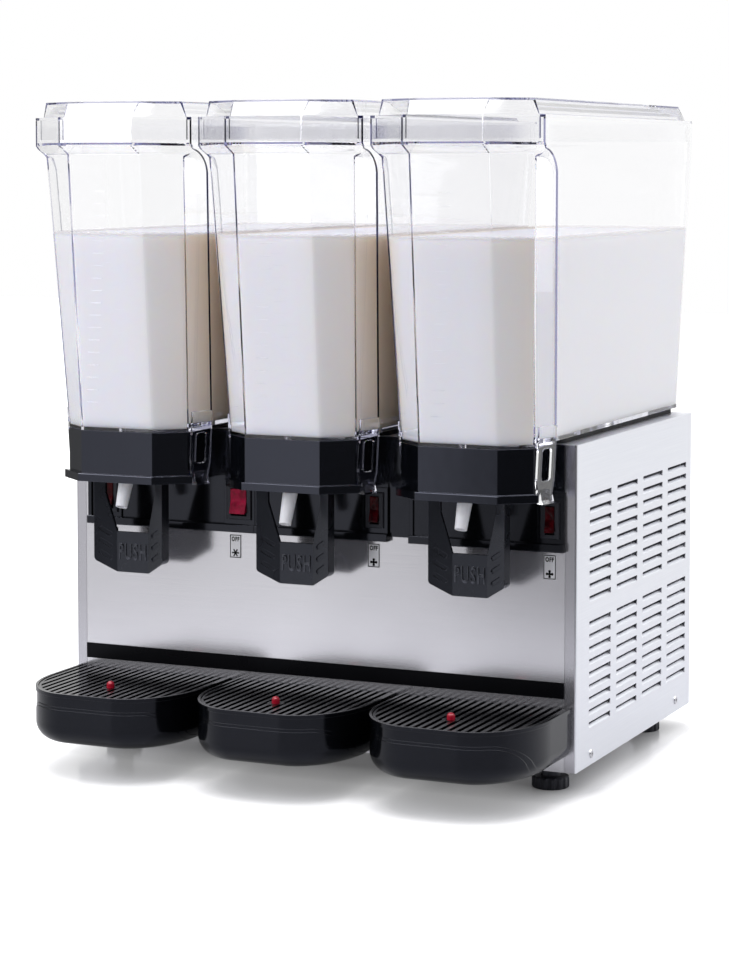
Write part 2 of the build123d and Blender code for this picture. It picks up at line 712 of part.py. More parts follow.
def drink():
    """The drink's own volume in the tank, up to its level."""
    low = TANK_Z + FLOOR + DRINK_GAP
    inset = WALL + DRINK_GAP
    fill = tank_wall(inset, low, DRINK_Z) - both_sides(flute_cut(inset))
    fill += rise(nose_plan(inset), sump_floor() + DRINK_GAP, low + SEAT)
    dome_top = CAB_H + EVAP_RISE + EVAP_CLEAR
    fill -= rod_z(EVAP_D / 2 + EVAP_CLEAR + DRINK_GAP, 0, EVAP_Y, low - OVER, dome_top)
    stir_top = low + STIR_HUB_H + STIR_CLEAR
    return fill - rod_z(STIR_D / 2 + STIR_CLEAR, 0, STIR_Y, low - OVER, stir_top)


def tank_seal():
    """Rubber frame between the deck and the tank's floor."""
    half = COLLAR_HALF - SIDE_TAPER - SEAL_IN
    front = SHEET + FIT + SEAL_IN
    rear = CAB_D - SEAL_IN
    frame = block(-half, half, front, rear, SEAL_Z, SEAL_Z + SEAL_H)
    frame = fillet(frame.edges().filter_by(Axis.Z), REAR_ROUND)
    return frame - rod_z(EVAP_D / 2 + FIT, 0, EVAP_Y, SEAL_Z - OVER, SEAL_Z + SEAL_H + OVER)


def evaporator():
    """Stainless dome that the drink surrounds, flanged below the deck."""
    radius = EVAP_D / 2
    under = CAB_H - SHEET - SEAT
    low = under - EVAP_FLANGE_T
    top = CAB_H + EVAP_RISE
    dome = fillet(rod_z(radius, 0, EVAP_Y, low, top).edges().sort_by(Axis.Z)[-1], EVAP_ROUND)
    core = rod_z(radius - EVAP_T, 0, EVAP_Y, low - OVER, top - EVAP_T)
    core = fillet(core.edges().sort_by(Axis.Z)[-1], EVAP_ROUND - EVAP_T)
    floor = rod_z(radius, 0, EVAP_Y, low, low + EVAP_T)
    return dome - core + rod_z(radius + EVAP_FLANGE, 0, EVAP_Y, low, under) + floor


def stirrer():
    """Magnet-driven impeller that turns on the pin in the tank's floor."""
    low = TANK_Z + FLOOR + SEAT
    hub = rod_z(STIR_HUB_D / 2, 0, 0, low, low + STIR_HUB_H)
    reach = STIR_D / 2
    blade = Pos(reach / 2, 0, low + STIR_BLADE_H / 2) * Box(reach, STIR_BLADE_T, STIR_BLADE_H)
    hub += [Rot(0, 0, 360 / STIR_BLADES * turn) * blade for turn in range(STIR_BLADES)]
    hub -= rod_z(STIR_PIN_D / 2 + RUN, 0, 0, low - OVER, low + STIR_HUB_H + OVER)
    return Pos(0, STIR_Y, 0) * hub


def stirrer_motor():
    """Motor hung under the deck, with the flange that holds it and its end cap."""
    top = CAB_H - SHEET - SEAT
    low = top - MOTOR_H
    can = fillet(rod_z(MOTOR_D / 2, 0, STIR_Y, low, top).edges().sort_by(Axis.Z)[0], FOOT_ROUND)
    flange = rod_z(MOTOR_D / 2 + MOTOR_FLANGE, 0, STIR_Y, top - MOTOR_FLANGE_T, top)
    return can + flange + rod_z(MOTOR_CAP_D / 2, 0, STIR_Y, low - MOTOR_CAP_H, low + OVER)


# Black front of the cabinet

def skirt_half():
    """Half the width of the black skirt, which lines up with the flute's front edge."""
    return COLLAR_HALF - SIDE_TAPER - FLUTE_IN


def fascia():
    """Black band across the front panel, behind the bowl seats."""
    return block(-PANEL_HALF, PANEL_HALF, -PLATE_T, 0, FASCIA_Z, CAB_H)


def bowl_seat():
    """Black seat under the tank's nose: hollow skirt, ledge, roof holed for the tube, and pin cheeks."""
    half = skirt_half()
    rear = -PLATE_T

    def ring(inset):
        return outline(plan(-NOSE_FRONT_LOW, FACE_HALF, NOSE_ANGLE_LOW, half, rear, inset))

    skirt = rise(ring(0), SEAT_Z, SEAT_TOP)
    recess = block(half - TAB_RECESS, half + OVER, -LEDGE_BACK, OVER, SEAT_Z - OVER, SEAT_TOP + OVER)
    skirt -= both_sides(recess)
    ledge = rise(ring(-LEDGE_OUT), SEAT_Z, SEAT_Z + LEDGE_H)
    ledge -= block(-PITCH, PITCH, -LEDGE_BACK, OVER + LEDGE_OUT, SEAT_Z - OVER, SEAT_TOP)
    ledge = fillet(ledge.faces().sort_by(Axis.Z)[-1].edges().group_by(Axis.Y)[0], SEAT_EDGE)
    seat = skirt + ledge
    hollow = outline(plan(-NOSE_FRONT_LOW, FACE_HALF, NOSE_ANGLE_LOW, half - TAB_RECESS, rear, SEAT_WALL))
    seat -= rise(hollow, SEAT_Z - OVER, SEAT_TOP - SEAT_ROOF)
    inner = LEVER_HALF + CHEEK_GAP
    low = LEVER_Z - LEVER_BOSS
    cheek = block(inner, inner + CHEEK_T, -LEVER_PIVOT_Y - CHEEK_HALF, -LEVER_PIVOT_Y + CHEEK_HALF,
                  low, SEAT_TOP - SEAT_ROOF + SEAT)
    cheek -= rod_x(PIN_D / 2 + RUN, inner - OVER, inner + CHEEK_T + OVER, -LEVER_PIVOT_Y, LEVER_Z)
    seat += both_sides(cheek)
    stop_x = LEVER_HALF - LEVER_ARM - SPRING_IN
    stop_y = -LEVER_PIVOT_Y + SPRING_R - SPRING_WIRE / 2 - SEAT
    seat += block(stop_x - SPRING_STOP, stop_x + SPRING_WIRE, stop_y - SPRING_STOP, stop_y,
                  LEVER_Z + SPRING_STOP_UP, SEAT_TOP - SEAT_ROOF + SEAT)
    return seat - rod_z(TUBE_D / 2 + FIT, 0, -TUBE_Y, SEAT_Z, SEAT_TOP + OVER)


def pod_x():
    """Wide switch's middle, between the first two tanks."""
    return (TANK_X[0] + TANK_X[1]) / 2 + POD_SHIFT


def pod_half(width):
    """Half the width of the pod round a switch."""
    return width / 2 + POD_BORDER


def switches():
    """Middle and bezel width of each switch, the wide one first."""
    narrow = [(TANK_X[0] - ROCKER_LEFT, NARROW_W)]
    narrow += [(x + ROCKER_OFF, NARROW_W) for x in TANK_X[1:]]
    return [(pod_x(), WIDE_W)] + narrow


def switch_cut(x, width):
    """Hole for a switch body through the pod, the plate and the front panel."""
    half = width / 2 - BODY_IN + FIT
    tall = BEZEL_H / 2 - BODY_IN + FIT
    return block(x - half, x + half, -POD_OUT - OVER, SHEET + OVER, ROCKER_Z - tall, ROCKER_Z + tall)


def tap_panel(index):
    """Glossy black moulding behind a tap: plate, proud lower ledge, end ribs and switch pods."""
    half = (PITCH - TAP_GAP) / 2
    split = pod_x() + pod_half(WIDE_W)
    left = [TANK_X[index] - half + TAP_END, split + FIT, TANK_X[index] - half][index]
    right = split if index == 0 else TANK_X[index] + half
    top = FASCIA_Z - FIT
    ledge_top = TAP_Z + TAP_LEDGE_H
    panel = block(left, right, -PLATE_T, 0, TAP_Z, top)
    ledge = block(left, right, -TAP_LEDGE_OUT, -PLATE_T, TAP_Z, ledge_top)
    ledge = fillet(ledge.edges().filter_by(Axis.X).group_by(Axis.Y)[0], SEAT_EDGE)
    panel += ledge
    proud_top = SEAT_Z - FIT
    for x in (left, right - TAP_RIB):
        panel += block(x, x + TAP_RIB, -POD_OUT, -PLATE_T, ledge_top, proud_top)
    for x, width in switches():
        if left < x < right:
            reach = pod_half(width)
            panel += block(x - reach, x + reach, -POD_OUT, -PLATE_T, ledge_top, proud_top)
            panel -= switch_cut(x, width)
    return panel


def tap_infill():
    """Plain black plate that closes the gap beside the last tap panels."""
    half = (PITCH - TAP_GAP) / 2
    plates = []
    for x, neighbour in zip(TANK_X[1:], TANK_X[2:]):
        plates.append(block(x + half + FIT, neighbour - half - FIT, -INFILL_T, 0,
                            TAP_Z + INFILL_RISE, FASCIA_Z - FIT))
    return plates


def tap_tube(length):
    """Soft white tube: upright in the seat, then leaning forward and narrowing to its open end."""
    lean = math.radians(TUBE_LEAN)
    down = Vector(0, -math.sin(lean), -math.cos(lean))
    top = Vector(0, -TUBE_Y, SEAT_TOP - SEAT)
    bend = Vector(0, -TUBE_Y, SEAT_TOP - TUBE_BEND_DROP)
    neck = bend + down * TUBE_NECK
    end = bend + down * length
    mouth = Plane(origin=top, z_dir=(0, 0, -1))
    tube = sweep(mouth * Circle(TUBE_D / 2), path=FilletPolyline(top, bend, neck, radius=TUBE_BEND_R))
    ends = [Plane(origin=neck, z_dir=down) * Circle(TUBE_D / 2),
            Plane(origin=end, z_dir=down) * Circle(TUBE_END_D / 2)]
    tube += loft(ends)
    return tube - sweep(mouth * Circle(TUBE_BORE / 2), path=FilletPolyline(top, bend, end, radius=TUBE_BEND_R))


def lever_wing_y(x):
    """Front face of a wing at a distance from the middle, which comes forward to hold the cup."""
    return -LEVER_Y - LEVER_CUP * (x - LEVER_FACE) / (LEVER_HALF - LEVER_FACE)


def push_lever():
    """Moulded lever: cupped three-part paddle, two arms to the pivot, and the bar that pinches the tube."""
    tip = -LEVER_Y - LEVER_CUP
    back = tip + LEVER_SIDE
    slope = math.atan2(LEVER_CUP, LEVER_HALF - LEVER_FACE)
    inner_face = LEVER_FACE - LEVER_T * math.tan(slope / 2)
    inner_half = LEVER_HALF - LEVER_T
    inner_tip = lever_wing_y(inner_half) + LEVER_T / math.cos(slope)
    right = [
        (LEVER_FACE, -LEVER_Y), (LEVER_HALF, tip), (LEVER_HALF, back), (inner_half, back),
        (inner_half, inner_tip), (inner_face, -LEVER_Y + LEVER_T),
    ]
    left = [(-x, y) for x, y in reversed(right)]
    top = LEVER_Z
    arm = LEVER_HALF - LEVER_ARM
    face_top = LEVER_LOW + LEVER_FACE_H
    wing_low = LEVER_LOW + LEVER_CHEVRON
    half_view = [
        (LEVER_FACE, LEVER_LOW), (LEVER_HALF, wing_low), (LEVER_HALF, top), (arm, top),
        (arm, face_top + LEVER_V_RISE), (LEVER_FACE, face_top),
    ]
    front_view = outline(half_view + [(-x, z) for x, z in reversed(half_view)])
    corners = front_view.vertices().filter_by_position(Axis.Y, wing_low - SEAT, wing_low + SEAT)
    front_view = fillet(corners, LEVER_CORNER)
    lever = rise(outline(right + left), LEVER_LOW, top) & along_y(front_view, tip - OVER, OVER)
    rake = math.degrees(math.atan2(LEVER_CHEVRON, LEVER_HALF - LEVER_FACE))
    wing_x = (LEVER_FACE + LEVER_HALF) / 2
    wing = Pos(wing_x, lever_wing_y(wing_x), LEVER_LOW + LEVER_CHEVRON / 2)
    long = LEVER_HALF - LEVER_FACE - LEVER_GROOVE_END * 2
    cutter = extrude(Plane.XZ * SlotOverall(long, LEVER_GROOVE_W), LEVER_GROOVE_DEPTH, both=True)
    for step in range(LEVER_GROOVES):
        up = LEVER_GROOVE_UP + step * LEVER_GROOVE_STEP
        turned = Pos(0, 0, up) * Rot(0, 0, -math.degrees(slope)) * Rot(0, -rake, 0)
        lever -= both_sides(wing * turned * cutter)
    boss = rod_x(LEVER_BOSS, arm, LEVER_HALF, -LEVER_PIVOT_Y, LEVER_Z)
    bar_y, bar_z = pinch_bar()
    reach = Vector(bar_y + LEVER_PIVOT_Y, bar_z - LEVER_Z)
    link = Pos((bar_y - LEVER_PIVOT_Y) / 2, (bar_z + LEVER_Z) / 2)
    slant = math.degrees(math.atan2(reach.Y, reach.X))
    link *= SlotCenterToCenter(reach.length, PINCH_R * 2, rotation=slant)
    boss += Pos(arm, 0, 0) * extrude(Plane.YZ * link, PINCH_ARM_T)
    lever += both_sides(boss)
    lever += rod_x(PINCH_R, -arm - PINCH_ARM_T, arm + PINCH_ARM_T, bar_y, bar_z)
    bore = rod_x(PIN_D / 2 + RUN, arm - OVER, LEVER_HALF + OVER, -LEVER_PIVOT_Y, LEVER_Z)
    return lever - both_sides(bore)


def lever_pins(x):
    """Two stub pins that carry a lever in the seat's cheeks. The spring sits on their inner ends."""
    inner = LEVER_HALF - LEVER_ARM - SPRING_IN - SPRING_STEP * (SPRING_TURNS + 2)
    pin = rod_x(PIN_D / 2, inner, LEVER_HALF + CHEEK_GAP + CHEEK_T, -LEVER_PIVOT_Y, LEVER_Z)
    return [Pos(x, 0, 0) * pin, Pos(x, 0, 0) * mirror(pin, about=Plane.YZ)]


def pinch_bar():
    """Middle of the pinch bar, as Y and Z, where it just holds the tube."""
    return -TUBE_Y - TUBE_D / 2 - PINCH_GAP - PINCH_R, LEVER_Z + PINCH_RISE


def lever_spring():
    """Torsion spring on the right-hand pin, one unbroken wire, drawn as a full push winds it."""
    bar_y, bar_z = pinch_bar()
    link = math.degrees(math.atan2(bar_z - LEVER_Z, bar_y + LEVER_PIVOT_Y))
    start = link + LEVER_SWING + SPRING_SLACK + 90
    turns = SPRING_TURNS + (360 - start) / 360
    height = SPRING_STEP * turns
    coil = Rot(0, 0, start) * Helix(SPRING_STEP, height, SPRING_R)
    begin = coil @ 0
    end = coil @ 1
    first = begin - (coil % 0) * SPRING_LEG
    wire = Wire([Line(first, begin), coil, Line(end, end + (coil % 1) * SPRING_LEG)])
    spring = sweep(Plane(origin=first, z_dir=coil % 0) * Circle(SPRING_WIRE / 2), path=wire)
    x = LEVER_HALF - LEVER_ARM - SPRING_IN - height
    return Plane((x, -LEVER_PIVOT_Y, LEVER_Z), x_dir=(0, 1, 0), z_dir=(1, 0, 0)).location * spring


# Switches

def switch_housing(x, width):
    """Bezel and body of a rocker switch, with the well that the rocker tips in."""
    half = width / 2
    tall = BEZEL_H / 2
    face = -POD_OUT - BEZEL_T
    bezel = block(x - half, x + half, face, -POD_OUT, ROCKER_Z - tall, ROCKER_Z + tall)
    bezel = fillet(bezel.edges().group_by(Axis.Y)[0], SEAT_EDGE)
    body_w = half - BODY_IN
    body_h = tall - BODY_IN
    body = block(x - body_w, x + body_w, -POD_OUT - SEAT, BODY_DEEP, ROCKER_Z - body_h, ROCKER_Z + body_h)
    well_w = half - BEZEL_SIDE
    well_h = tall - BEZEL_END
    back = -POD_OUT + WELL_DEEP
    well = block(x - well_w, x + well_w, face - OVER, back, ROCKER_Z - well_h, ROCKER_Z + well_h)
    return bezel + body - well


def rocker(x, width):
    """Rocker with two faces that meet in a shallow trough, tipped to its off position."""
    half = width / 2 - BEZEL_SIDE - ROCKER_PLAY
    tall = ROCKER_H / 2
    back = ROCKER_BACK_H / 2
    front = [(-ROCKER_OUT, -tall), (-ROCKER_MID, 0), (-ROCKER_OUT, tall)]
    side = front + [(ROCKER_BACK, back), (ROCKER_BACK, -back)]
    body = across_x(side, -half, half)
    return Pos(x, -POD_OUT + ROCKER_PIVOT, ROCKER_Z) * Rot(-ROCKER_TILT / 2, 0, 0) * body


# Drip trays

def tray_plan(inset, rear):
    """Tray in plan: straight sides, long round corners and a short flat front, drawn in by inset."""
    half = TRAY_HALF - inset
    flat = TRAY_FLAT / 2
    begin = -TRAY_D + TRAY_CORNER
    wide = half - flat
    deep = TRAY_CORNER - inset
    edges = [
        EllipticalCenterArc((-flat, begin), wide, deep, start_angle=180, arc_size=90),
        Line((-flat, begin - deep), (flat, begin - deep)),
        EllipticalCenterArc((flat, begin), wide, deep, start_angle=270, arc_size=90),
        Line((half, begin), (half, rear)),
        Line((half, rear), (-half, rear)),
        Line((-half, rear), (-half, begin)),
    ]
    return make_face(edges)


def round_bottom(solid, radius):
    """Rounds the lower edge along the sides and the front, but not along the rear."""
    lower = solid.edges().group_by(Axis.Z)[0].sort_by(Axis.Y)[:-1]
    return fillet(lower, radius)


def drip_tray():
    """Moulded tray with a proud rim, an arched panel on its front, a shelf and two rear tongues."""
    rear = -TRAY_CLEAR
    body = round_bottom(rise(tray_plan(TRAY_LIP, rear), TRAY_Z, TRAY_TOP), TRAY_ROUND)
    for step, proud in ((0, ARCH_PROUD / 2), (ARCH_STEP, ARCH_PROUD)):
        panel = round_bottom(rise(tray_plan(TRAY_LIP - proud, rear), TRAY_Z, TRAY_TOP), TRAY_ROUND)
        arch = RectangleRounded(ARCH_HALF * 2 - step * 2, TRAY_H * 2, ARCH_ROUND - step)
        arch = Pos(0, TRAY_TOP - ARCH_DROP - step - TRAY_H) * arch
        body += panel & along_y(arch, -TRAY_D - OVER, -TRAY_D + TRAY_CORNER)
    body += rise(tray_plan(0, rear), TRAY_TOP - TRAY_LIP_H, TRAY_TOP)
    shelf = TRAY_RIM + TRAY_SHELF
    well = rise(tray_plan(shelf, rear - TRAY_WALL), TRAY_Z + TRAY_WALL, TRAY_TOP)
    body -= round_bottom(well, TRAY_ROUND_IN)
    body -= rise(tray_plan(TRAY_RIM, OVER), GRILLE_Z, TRAY_TOP + OVER)
    tongue_top = TRAY_TOP - TONGUE_DROP
    for x in (-TONGUE_X, TONGUE_X):
        half = TONGUE_W / 2
        body += block(x - half, x + half, rear - SEAT, TONGUE_LEN, tongue_top - TONGUE_T, tongue_top)
    return body


def drip_grille():
    """Slotted plate with free bar ends at the rear, cross bars below and a ring for the float."""
    edge = TRAY_RIM + GRILLE_FIT
    rear = -GRILLE_REAR
    inside = tray_plan(edge + GRILLE_RING, OVER)
    count = int((TRAY_HALF - edge - GRILLE_RING - GRILLE_SLOT / 2) / GRILLE_STEP)
    slot = Pos(0, -TRAY_D / 2) * Rectangle(GRILLE_SLOT, TRAY_D * 2)
    slots = Sketch() + [Pos(GRILLE_STEP * k, 0) * slot for k in range(-count, count + 1)]
    plate = tray_plan(edge, rear) - (slots & inside)
    spot = Pos(0, -FLOAT_Y)
    hole = FLOAT_STEM_D / 2 + FLOAT_FIT
    plate = plate + spot * Circle(hole + FLOAT_RING) - spot * Circle(hole)
    grille = rise(plate, GRILLE_Z + SEAT, GRILLE_Z + SEAT + GRILLE_H)
    half = TRAY_HALF - edge - TRAY_SHELF - GRILLE_FIT
    for y in GRILLE_BAR_Y:
        low = GRILLE_Z + SEAT - GRILLE_BAR_H
        grille += block(-half, half, -y - GRILLE_BAR / 2, -y + GRILLE_BAR / 2, low, GRILLE_Z + SEAT * 2)
    return grille


def level_float():
    """Red float whose stem shows above the grille when the tray fills."""
    low = TRAY_Z + TRAY_WALL + SEAT
    stem_r = FLOAT_STEM_D / 2
    top = TRAY_TOP + FLOAT_PROUD
    stem = rod_z(stem_r, 0, -FLOAT_Y, low, top)
    stem = fillet(stem.edges().sort_by(Axis.Z)[-1], stem_r - SEAT)
    disc = rod_z(FLOAT_D / 2, 0, -FLOAT_Y, low, low + FLOAT_H)
    return stem + fillet(disc.edges(), FOOT_ROUND)


# Refrigeration

def compressor():
    """Hermetic pot with a seam round its middle, on a base plate in the pan."""
    low = SHEET + SEAT
    radius = COMP_D / 2
    floor = low + COMP_BASE_T
    pot = rod_z(radius, 0, 0, floor, floor + COMP_H)
    pot = fillet(pot.edges().sort_by(Axis.Z)[-1], COMP_ROUND)
    pot -= rod_z(radius - COMP_T, 0, 0, floor + COMP_T, floor + COMP_H - COMP_ROUND)
    middle = floor + COMP_H / 2
    pot += rod_z(radius + COMP_SEAM, 0, 0, middle - COMP_SEAM_H / 2, middle + COMP_SEAM_H / 2) - rod_z(
        radius - COMP_T, 0, 0, middle - COMP_SEAM_H, middle + COMP_SEAM_H)
    half = COMP_BASE_W / 2
    base = fillet(block(-half, half, -half, half, low, floor).edges().filter_by(Axis.Z), COMP_ROUND)
    return Pos(-COMP_X, EVAP_Y, 0) * (pot + base)


def condenser_left():
    """Condenser's face towards the fan."""
    return CAB_W / 2 - COND_SIDE - COND_T


def condenser():
    """Fins on three straight tubes, standing in the pan beside the right-hand louvres."""
    left = condenser_left()
    low = SHEET + SEAT
    front = EVAP_Y - COND_L / 2
    step = (COND_L - COND_FIN_T) / (COND_FINS - 1)
    fins = [
        block(left, left + COND_T, front + k * step, front + k * step + COND_FIN_T, low, low + COND_H)
        for k in range(COND_FINS)
    ]
    rise_step = COND_H / (COND_TUBES + 1)
    tubes = [
        Pos(left + COND_T / 2, EVAP_Y, low + rise_step * (k + 1)) * Rot(90, 0, 0)
        * Cylinder(COND_TUBE_D / 2, COND_L + COND_TUBE_D) for k in range(COND_TUBES)
    ]
    return Part() + fins + tubes


def fan_plate():
    """Left face of the shroud's plate."""
    return condenser_left() - FAN_GAP - FAN_RING_T


def fan_shroud():
    """Plate and ring round the fan, with the motor on three struts and a foot in the pan."""
    right = fan_plate() + FAN_RING_T
    left = fan_plate()
    hole = FAN_D / 2 + FAN_TIP
    reach = hole + FAN_RING_T + PLATE_MARGIN
    low = SHEET + SEAT
    shroud = block(left, right, EVAP_Y - reach, EVAP_Y + reach, low, FAN_Z + reach)
    ring_left = right - FAN_RING_H
    shroud += rod_x(hole + FAN_RING_T, ring_left, right, EVAP_Y, FAN_Z)
    shroud -= rod_x(hole, ring_left - OVER, right + OVER, EVAP_Y, FAN_Z)
    motor_right = ring_left - FAN_MOTOR_GAP
    motor_left = motor_right - FAN_MOTOR_H
    strut = block(motor_right - FAN_STRUT, ring_left + FAN_STRUT, -FAN_STRUT / 2, FAN_STRUT / 2,
                  hole, hole + FAN_RING_T)
    spoke = block(motor_right - FAN_STRUT, motor_right, -FAN_STRUT / 2, FAN_STRUT / 2, 0, hole + FAN_RING_T)
    frame = Part() + [Rot(360 / FAN_STRUTS * k, 0, 0) * (strut + spoke) for k in range(FAN_STRUTS)]
    shroud += Pos(0, EVAP_Y, FAN_Z) * frame
    shroud += fillet(rod_x(FAN_MOTOR_D / 2, motor_left, motor_right, EVAP_Y, FAN_Z).edges(), FAN_END)
    shroud -= rod_x(LINE_D / 2 + FIT, left - OVER, right + OVER, EVAP_Y, HOT_LINE_Z)
    return shroud + rod_x(FAN_SHAFT_D / 2, motor_right - OVER, right - FAN_END, EVAP_Y, FAN_Z)


def condenser_fan():
    """Five pitched blades on a hub that turns on the motor's shaft."""
    hub = Cylinder(FAN_HUB_D / 2, FAN_HUB_H)
    reach = FAN_D / 2
    blade = Pos(reach / 2, 0, 0) * Rot(FAN_PITCH, 0, 0) * Box(reach, FAN_BLADE_C, FAN_BLADE_T)
    blades = Part() + [Rot(0, 0, 360 / FAN_BLADES * k) * blade for k in range(FAN_BLADES)]
    wheel = hub + (blades & Cylinder(reach, FAN_HUB_H))
    wheel -= Cylinder(FAN_SHAFT_D / 2 + RUN, FAN_HUB_H + OVER * 2)
    middle = fan_plate() + FAN_RING_T - FAN_RING_H / 2
    return Pos(middle, EVAP_Y, FAN_Z) * Rot(0, 90, 0) * wheel


def refrigerant_lines():
    """Suction header under the evaporators with its drop to the compressor, and the hot line."""
    radius = LINE_D / 2
    header_z = CAB_H - HEADER_DROP
    under = CAB_H - SHEET - SEAT - EVAP_FLANGE_T - SEAT
    suction = rod_x(radius, TANK_X[0] - radius, TANK_X[-1] + radius, EVAP_Y, header_z)
    suction += [rod_z(radius, x, EVAP_Y, header_z, under) for x in TANK_X]
    pot_top = SHEET + SEAT + COMP_BASE_T + COMP_H
    suction += rod_z(radius, -COMP_X, EVAP_Y, pot_top + SEAT, header_z)
    hot = rod_x(radius, -COMP_X + COMP_D / 2 + SEAT + FIT, condenser_left() - SEAT, EVAP_Y, HOT_LINE_Z)
    return [suction, hot]


save("base_pan", base_pan())
right_panel = side_panel()
save("side_panel_right", right_panel)
save("side_panel_left", mirror(right_panel, about=Plane.YZ))
save("front_panel", front_panel())
save("rear_panel", rear_panel())
save("top_deck", top_deck())
save("front_strip", front_strip())
save("power_inlet", power_inlet())
for index, (x, y) in enumerate(foot_places(), start=1):
    save(f"foot_{index}", foot(x, y))

save("front_fascia", fascia())
save("tap_infill", *tap_infill())
seat = bowl_seat()
one_tank = tank()
one_lid = lid()
one_drink = drink()
one_stirrer = stirrer()
one_lever = push_lever()
one_tray = drip_tray()
one_grille = drip_grille()
one_float = level_float()
for index, x in enumerate(TANK_X, start=1):
    shift = Pos(x, 0, 0)
    save(f"tap_panel_{index}", tap_panel(index - 1))
    save(f"bowl_seat_{index}", shift * seat)
    save(f"tank_{index}", shift * one_tank)
    save(f"lid_{index}", shift * one_lid)
    save(f"drink_{index}", shift * one_drink)
    save(f"stirrer_{index}", shift * one_stirrer)
    save(f"push_lever_{index}", shift * one_lever)
    save(f"drip_tray_{index}", shift * one_tray)
    save(f"drip_grille_{index}", shift * one_grille)
    save(f"level_float_{index}", shift * one_float)

save("tank_seals", *[Pos(x, 0, 0) * tank_seal() for x in TANK_X])
save("evaporators", *[Pos(x, 0, 0) * evaporator() for x in TANK_X])
save("stirrer_motors", *[Pos(x, 0, 0) * stirrer_motor() for x in TANK_X])
save("tap_tubes", *[Pos(x, 0, 0) * tap_tube(cut) for x, cut in zip(TANK_X, TUBE_LENGTHS)])
save("lever_pins", *[pin for x in TANK_X for pin in lever_pins(x)])
save("lever_springs", *[Pos(x, 0, 0) * lever_spring() for x in TANK_X])
save("switch_housings", *[switch_housing(x, width) for x, width in switches()])
for name, (x, width) in zip(("main", "1", "2", "3"), switches()):
    save(f"rocker_{name}", rocker(x, width))

save("compressor", compressor())
save("condenser", condenser())
save("fan_shroud", fan_shroud())
save("condenser_fan", condenser_fan())
save("refrigerant_lines", *refrigerant_lines())
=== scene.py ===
import bpy
import math
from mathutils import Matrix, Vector


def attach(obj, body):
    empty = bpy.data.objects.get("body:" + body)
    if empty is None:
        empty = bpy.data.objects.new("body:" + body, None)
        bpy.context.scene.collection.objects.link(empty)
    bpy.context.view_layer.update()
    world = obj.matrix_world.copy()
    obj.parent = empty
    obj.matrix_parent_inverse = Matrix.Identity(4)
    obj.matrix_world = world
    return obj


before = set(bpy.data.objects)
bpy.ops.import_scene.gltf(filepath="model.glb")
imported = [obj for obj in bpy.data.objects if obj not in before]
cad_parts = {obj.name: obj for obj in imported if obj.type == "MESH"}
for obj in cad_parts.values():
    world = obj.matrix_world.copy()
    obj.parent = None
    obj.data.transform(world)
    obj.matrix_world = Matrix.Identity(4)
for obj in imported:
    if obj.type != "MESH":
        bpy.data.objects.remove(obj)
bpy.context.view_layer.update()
bpy.ops.object.select_all(action="DESELECT")


# The studio: a white satin table that runs on into a white surround, as for a catalogue picture.
# The table takes the soft shadow, partly real from the lamps and partly a painted shadow in its glow, and a blurred
# image of the feet.
# Metal and gloss mirror the surround, which has a softbox at the front left, darker gaps and a bright canopy
# overhead.
def linear(code):
    """An sRGB hex colour as linear RGBA."""
    parts = [int(code[k:k + 2], 16) / 255 for k in (1, 3, 5)]
    return [c / 12.92 if c <= 0.04045 else ((c + 0.055) / 1.055) ** 2.4 for c in parts] + [1.0]


def blank_material(name):
    """A new material with an empty node tree."""
    made = bpy.data.materials.new(name)
    made.use_nodes = True
    made.node_tree.nodes.clear()
    return made, made.node_tree


def add(tree, kind, inputs=None, **settings):
    """Adds a node with its settings, and fills or links its inputs."""
    made = tree.nodes.new("ShaderNode" + kind)
    for name, value in settings.items():
        setattr(made, name, value)
    for name, value in (inputs or {}).items():
        if isinstance(value, bpy.types.NodeSocket):
            tree.links.new(value, made.inputs[name])
        else:
            made.inputs[name].default_value = value
    return made


TABLE_SIZE, NEAR, FAR = 16, 0.75, 1.3
bpy.ops.mesh.primitive_plane_add(size=TABLE_SIZE, location=(0, 0, 0))
floor = bpy.context.object
floor.name = "studio_floor"
laminate, tree = blank_material("white satin laminate")
path = add(tree, "LightPath")
place = add(tree, "TexCoord")
away = add(tree, "VectorMath", {0: place.outputs["Object"]}, operation="LENGTH")
# the table glows white by its own emission; close under the object that glow is cut by how open the place is,
# a painted shadow: how far it looks for cover, and how much of the glow is left there
SHADE_REACH, MIRRORED_GLOW = 0.05, 0.3
SHADE = [(0.2, 0.06), (0.5, 0.26), (0.68, 0.34), (0.84, 0.74), (1.0, 0.8)]
cover = add(tree, "AmbientOcclusion", {"Distance": SHADE_REACH}, samples=16)
painted_shadow_ramp = add(tree, "ValToRGB", {"Fac": cover.outputs["AO"]})
while len(painted_shadow_ramp.color_ramp.elements) < len(SHADE):
    painted_shadow_ramp.color_ramp.elements.new(0.5)
for stop, (openness, grey) in zip(painted_shadow_ramp.color_ramp.elements, SHADE):
    stop.position = openness
    stop.color = (grey, grey, grey, 1)
mirrored = add(tree, "Math", {0: path.outputs["Is Glossy Ray"], 1: path.outputs["Is Transmission Ray"]},
               operation="MAXIMUM")
dim = add(tree, "Math", {0: mirrored.outputs[0], 1: MIRRORED_GLOW}, operation="MULTIPLY")
shown = add(tree, "Math", {0: path.outputs["Is Camera Ray"], 1: dim.outputs[0]}, operation="MAXIMUM")
# the glow's strength carries the painted shadow
strength = add(tree, "Math", {0: painted_shadow_ramp.outputs[0], 1: shown.outputs[0]}, operation="MULTIPLY")
glow = add(tree, "Emission", {"Color": linear("#ffffff"), "Strength": strength.outputs[0]})
board = add(tree, "BsdfPrincipled", {
    "Base Color": linear("#e2e2e4"), "Roughness": 0.17, "Specular IOR Level": 0.4})
both = add(tree, "AddShader", {0: board.outputs[0], 1: glow.outputs[0]})
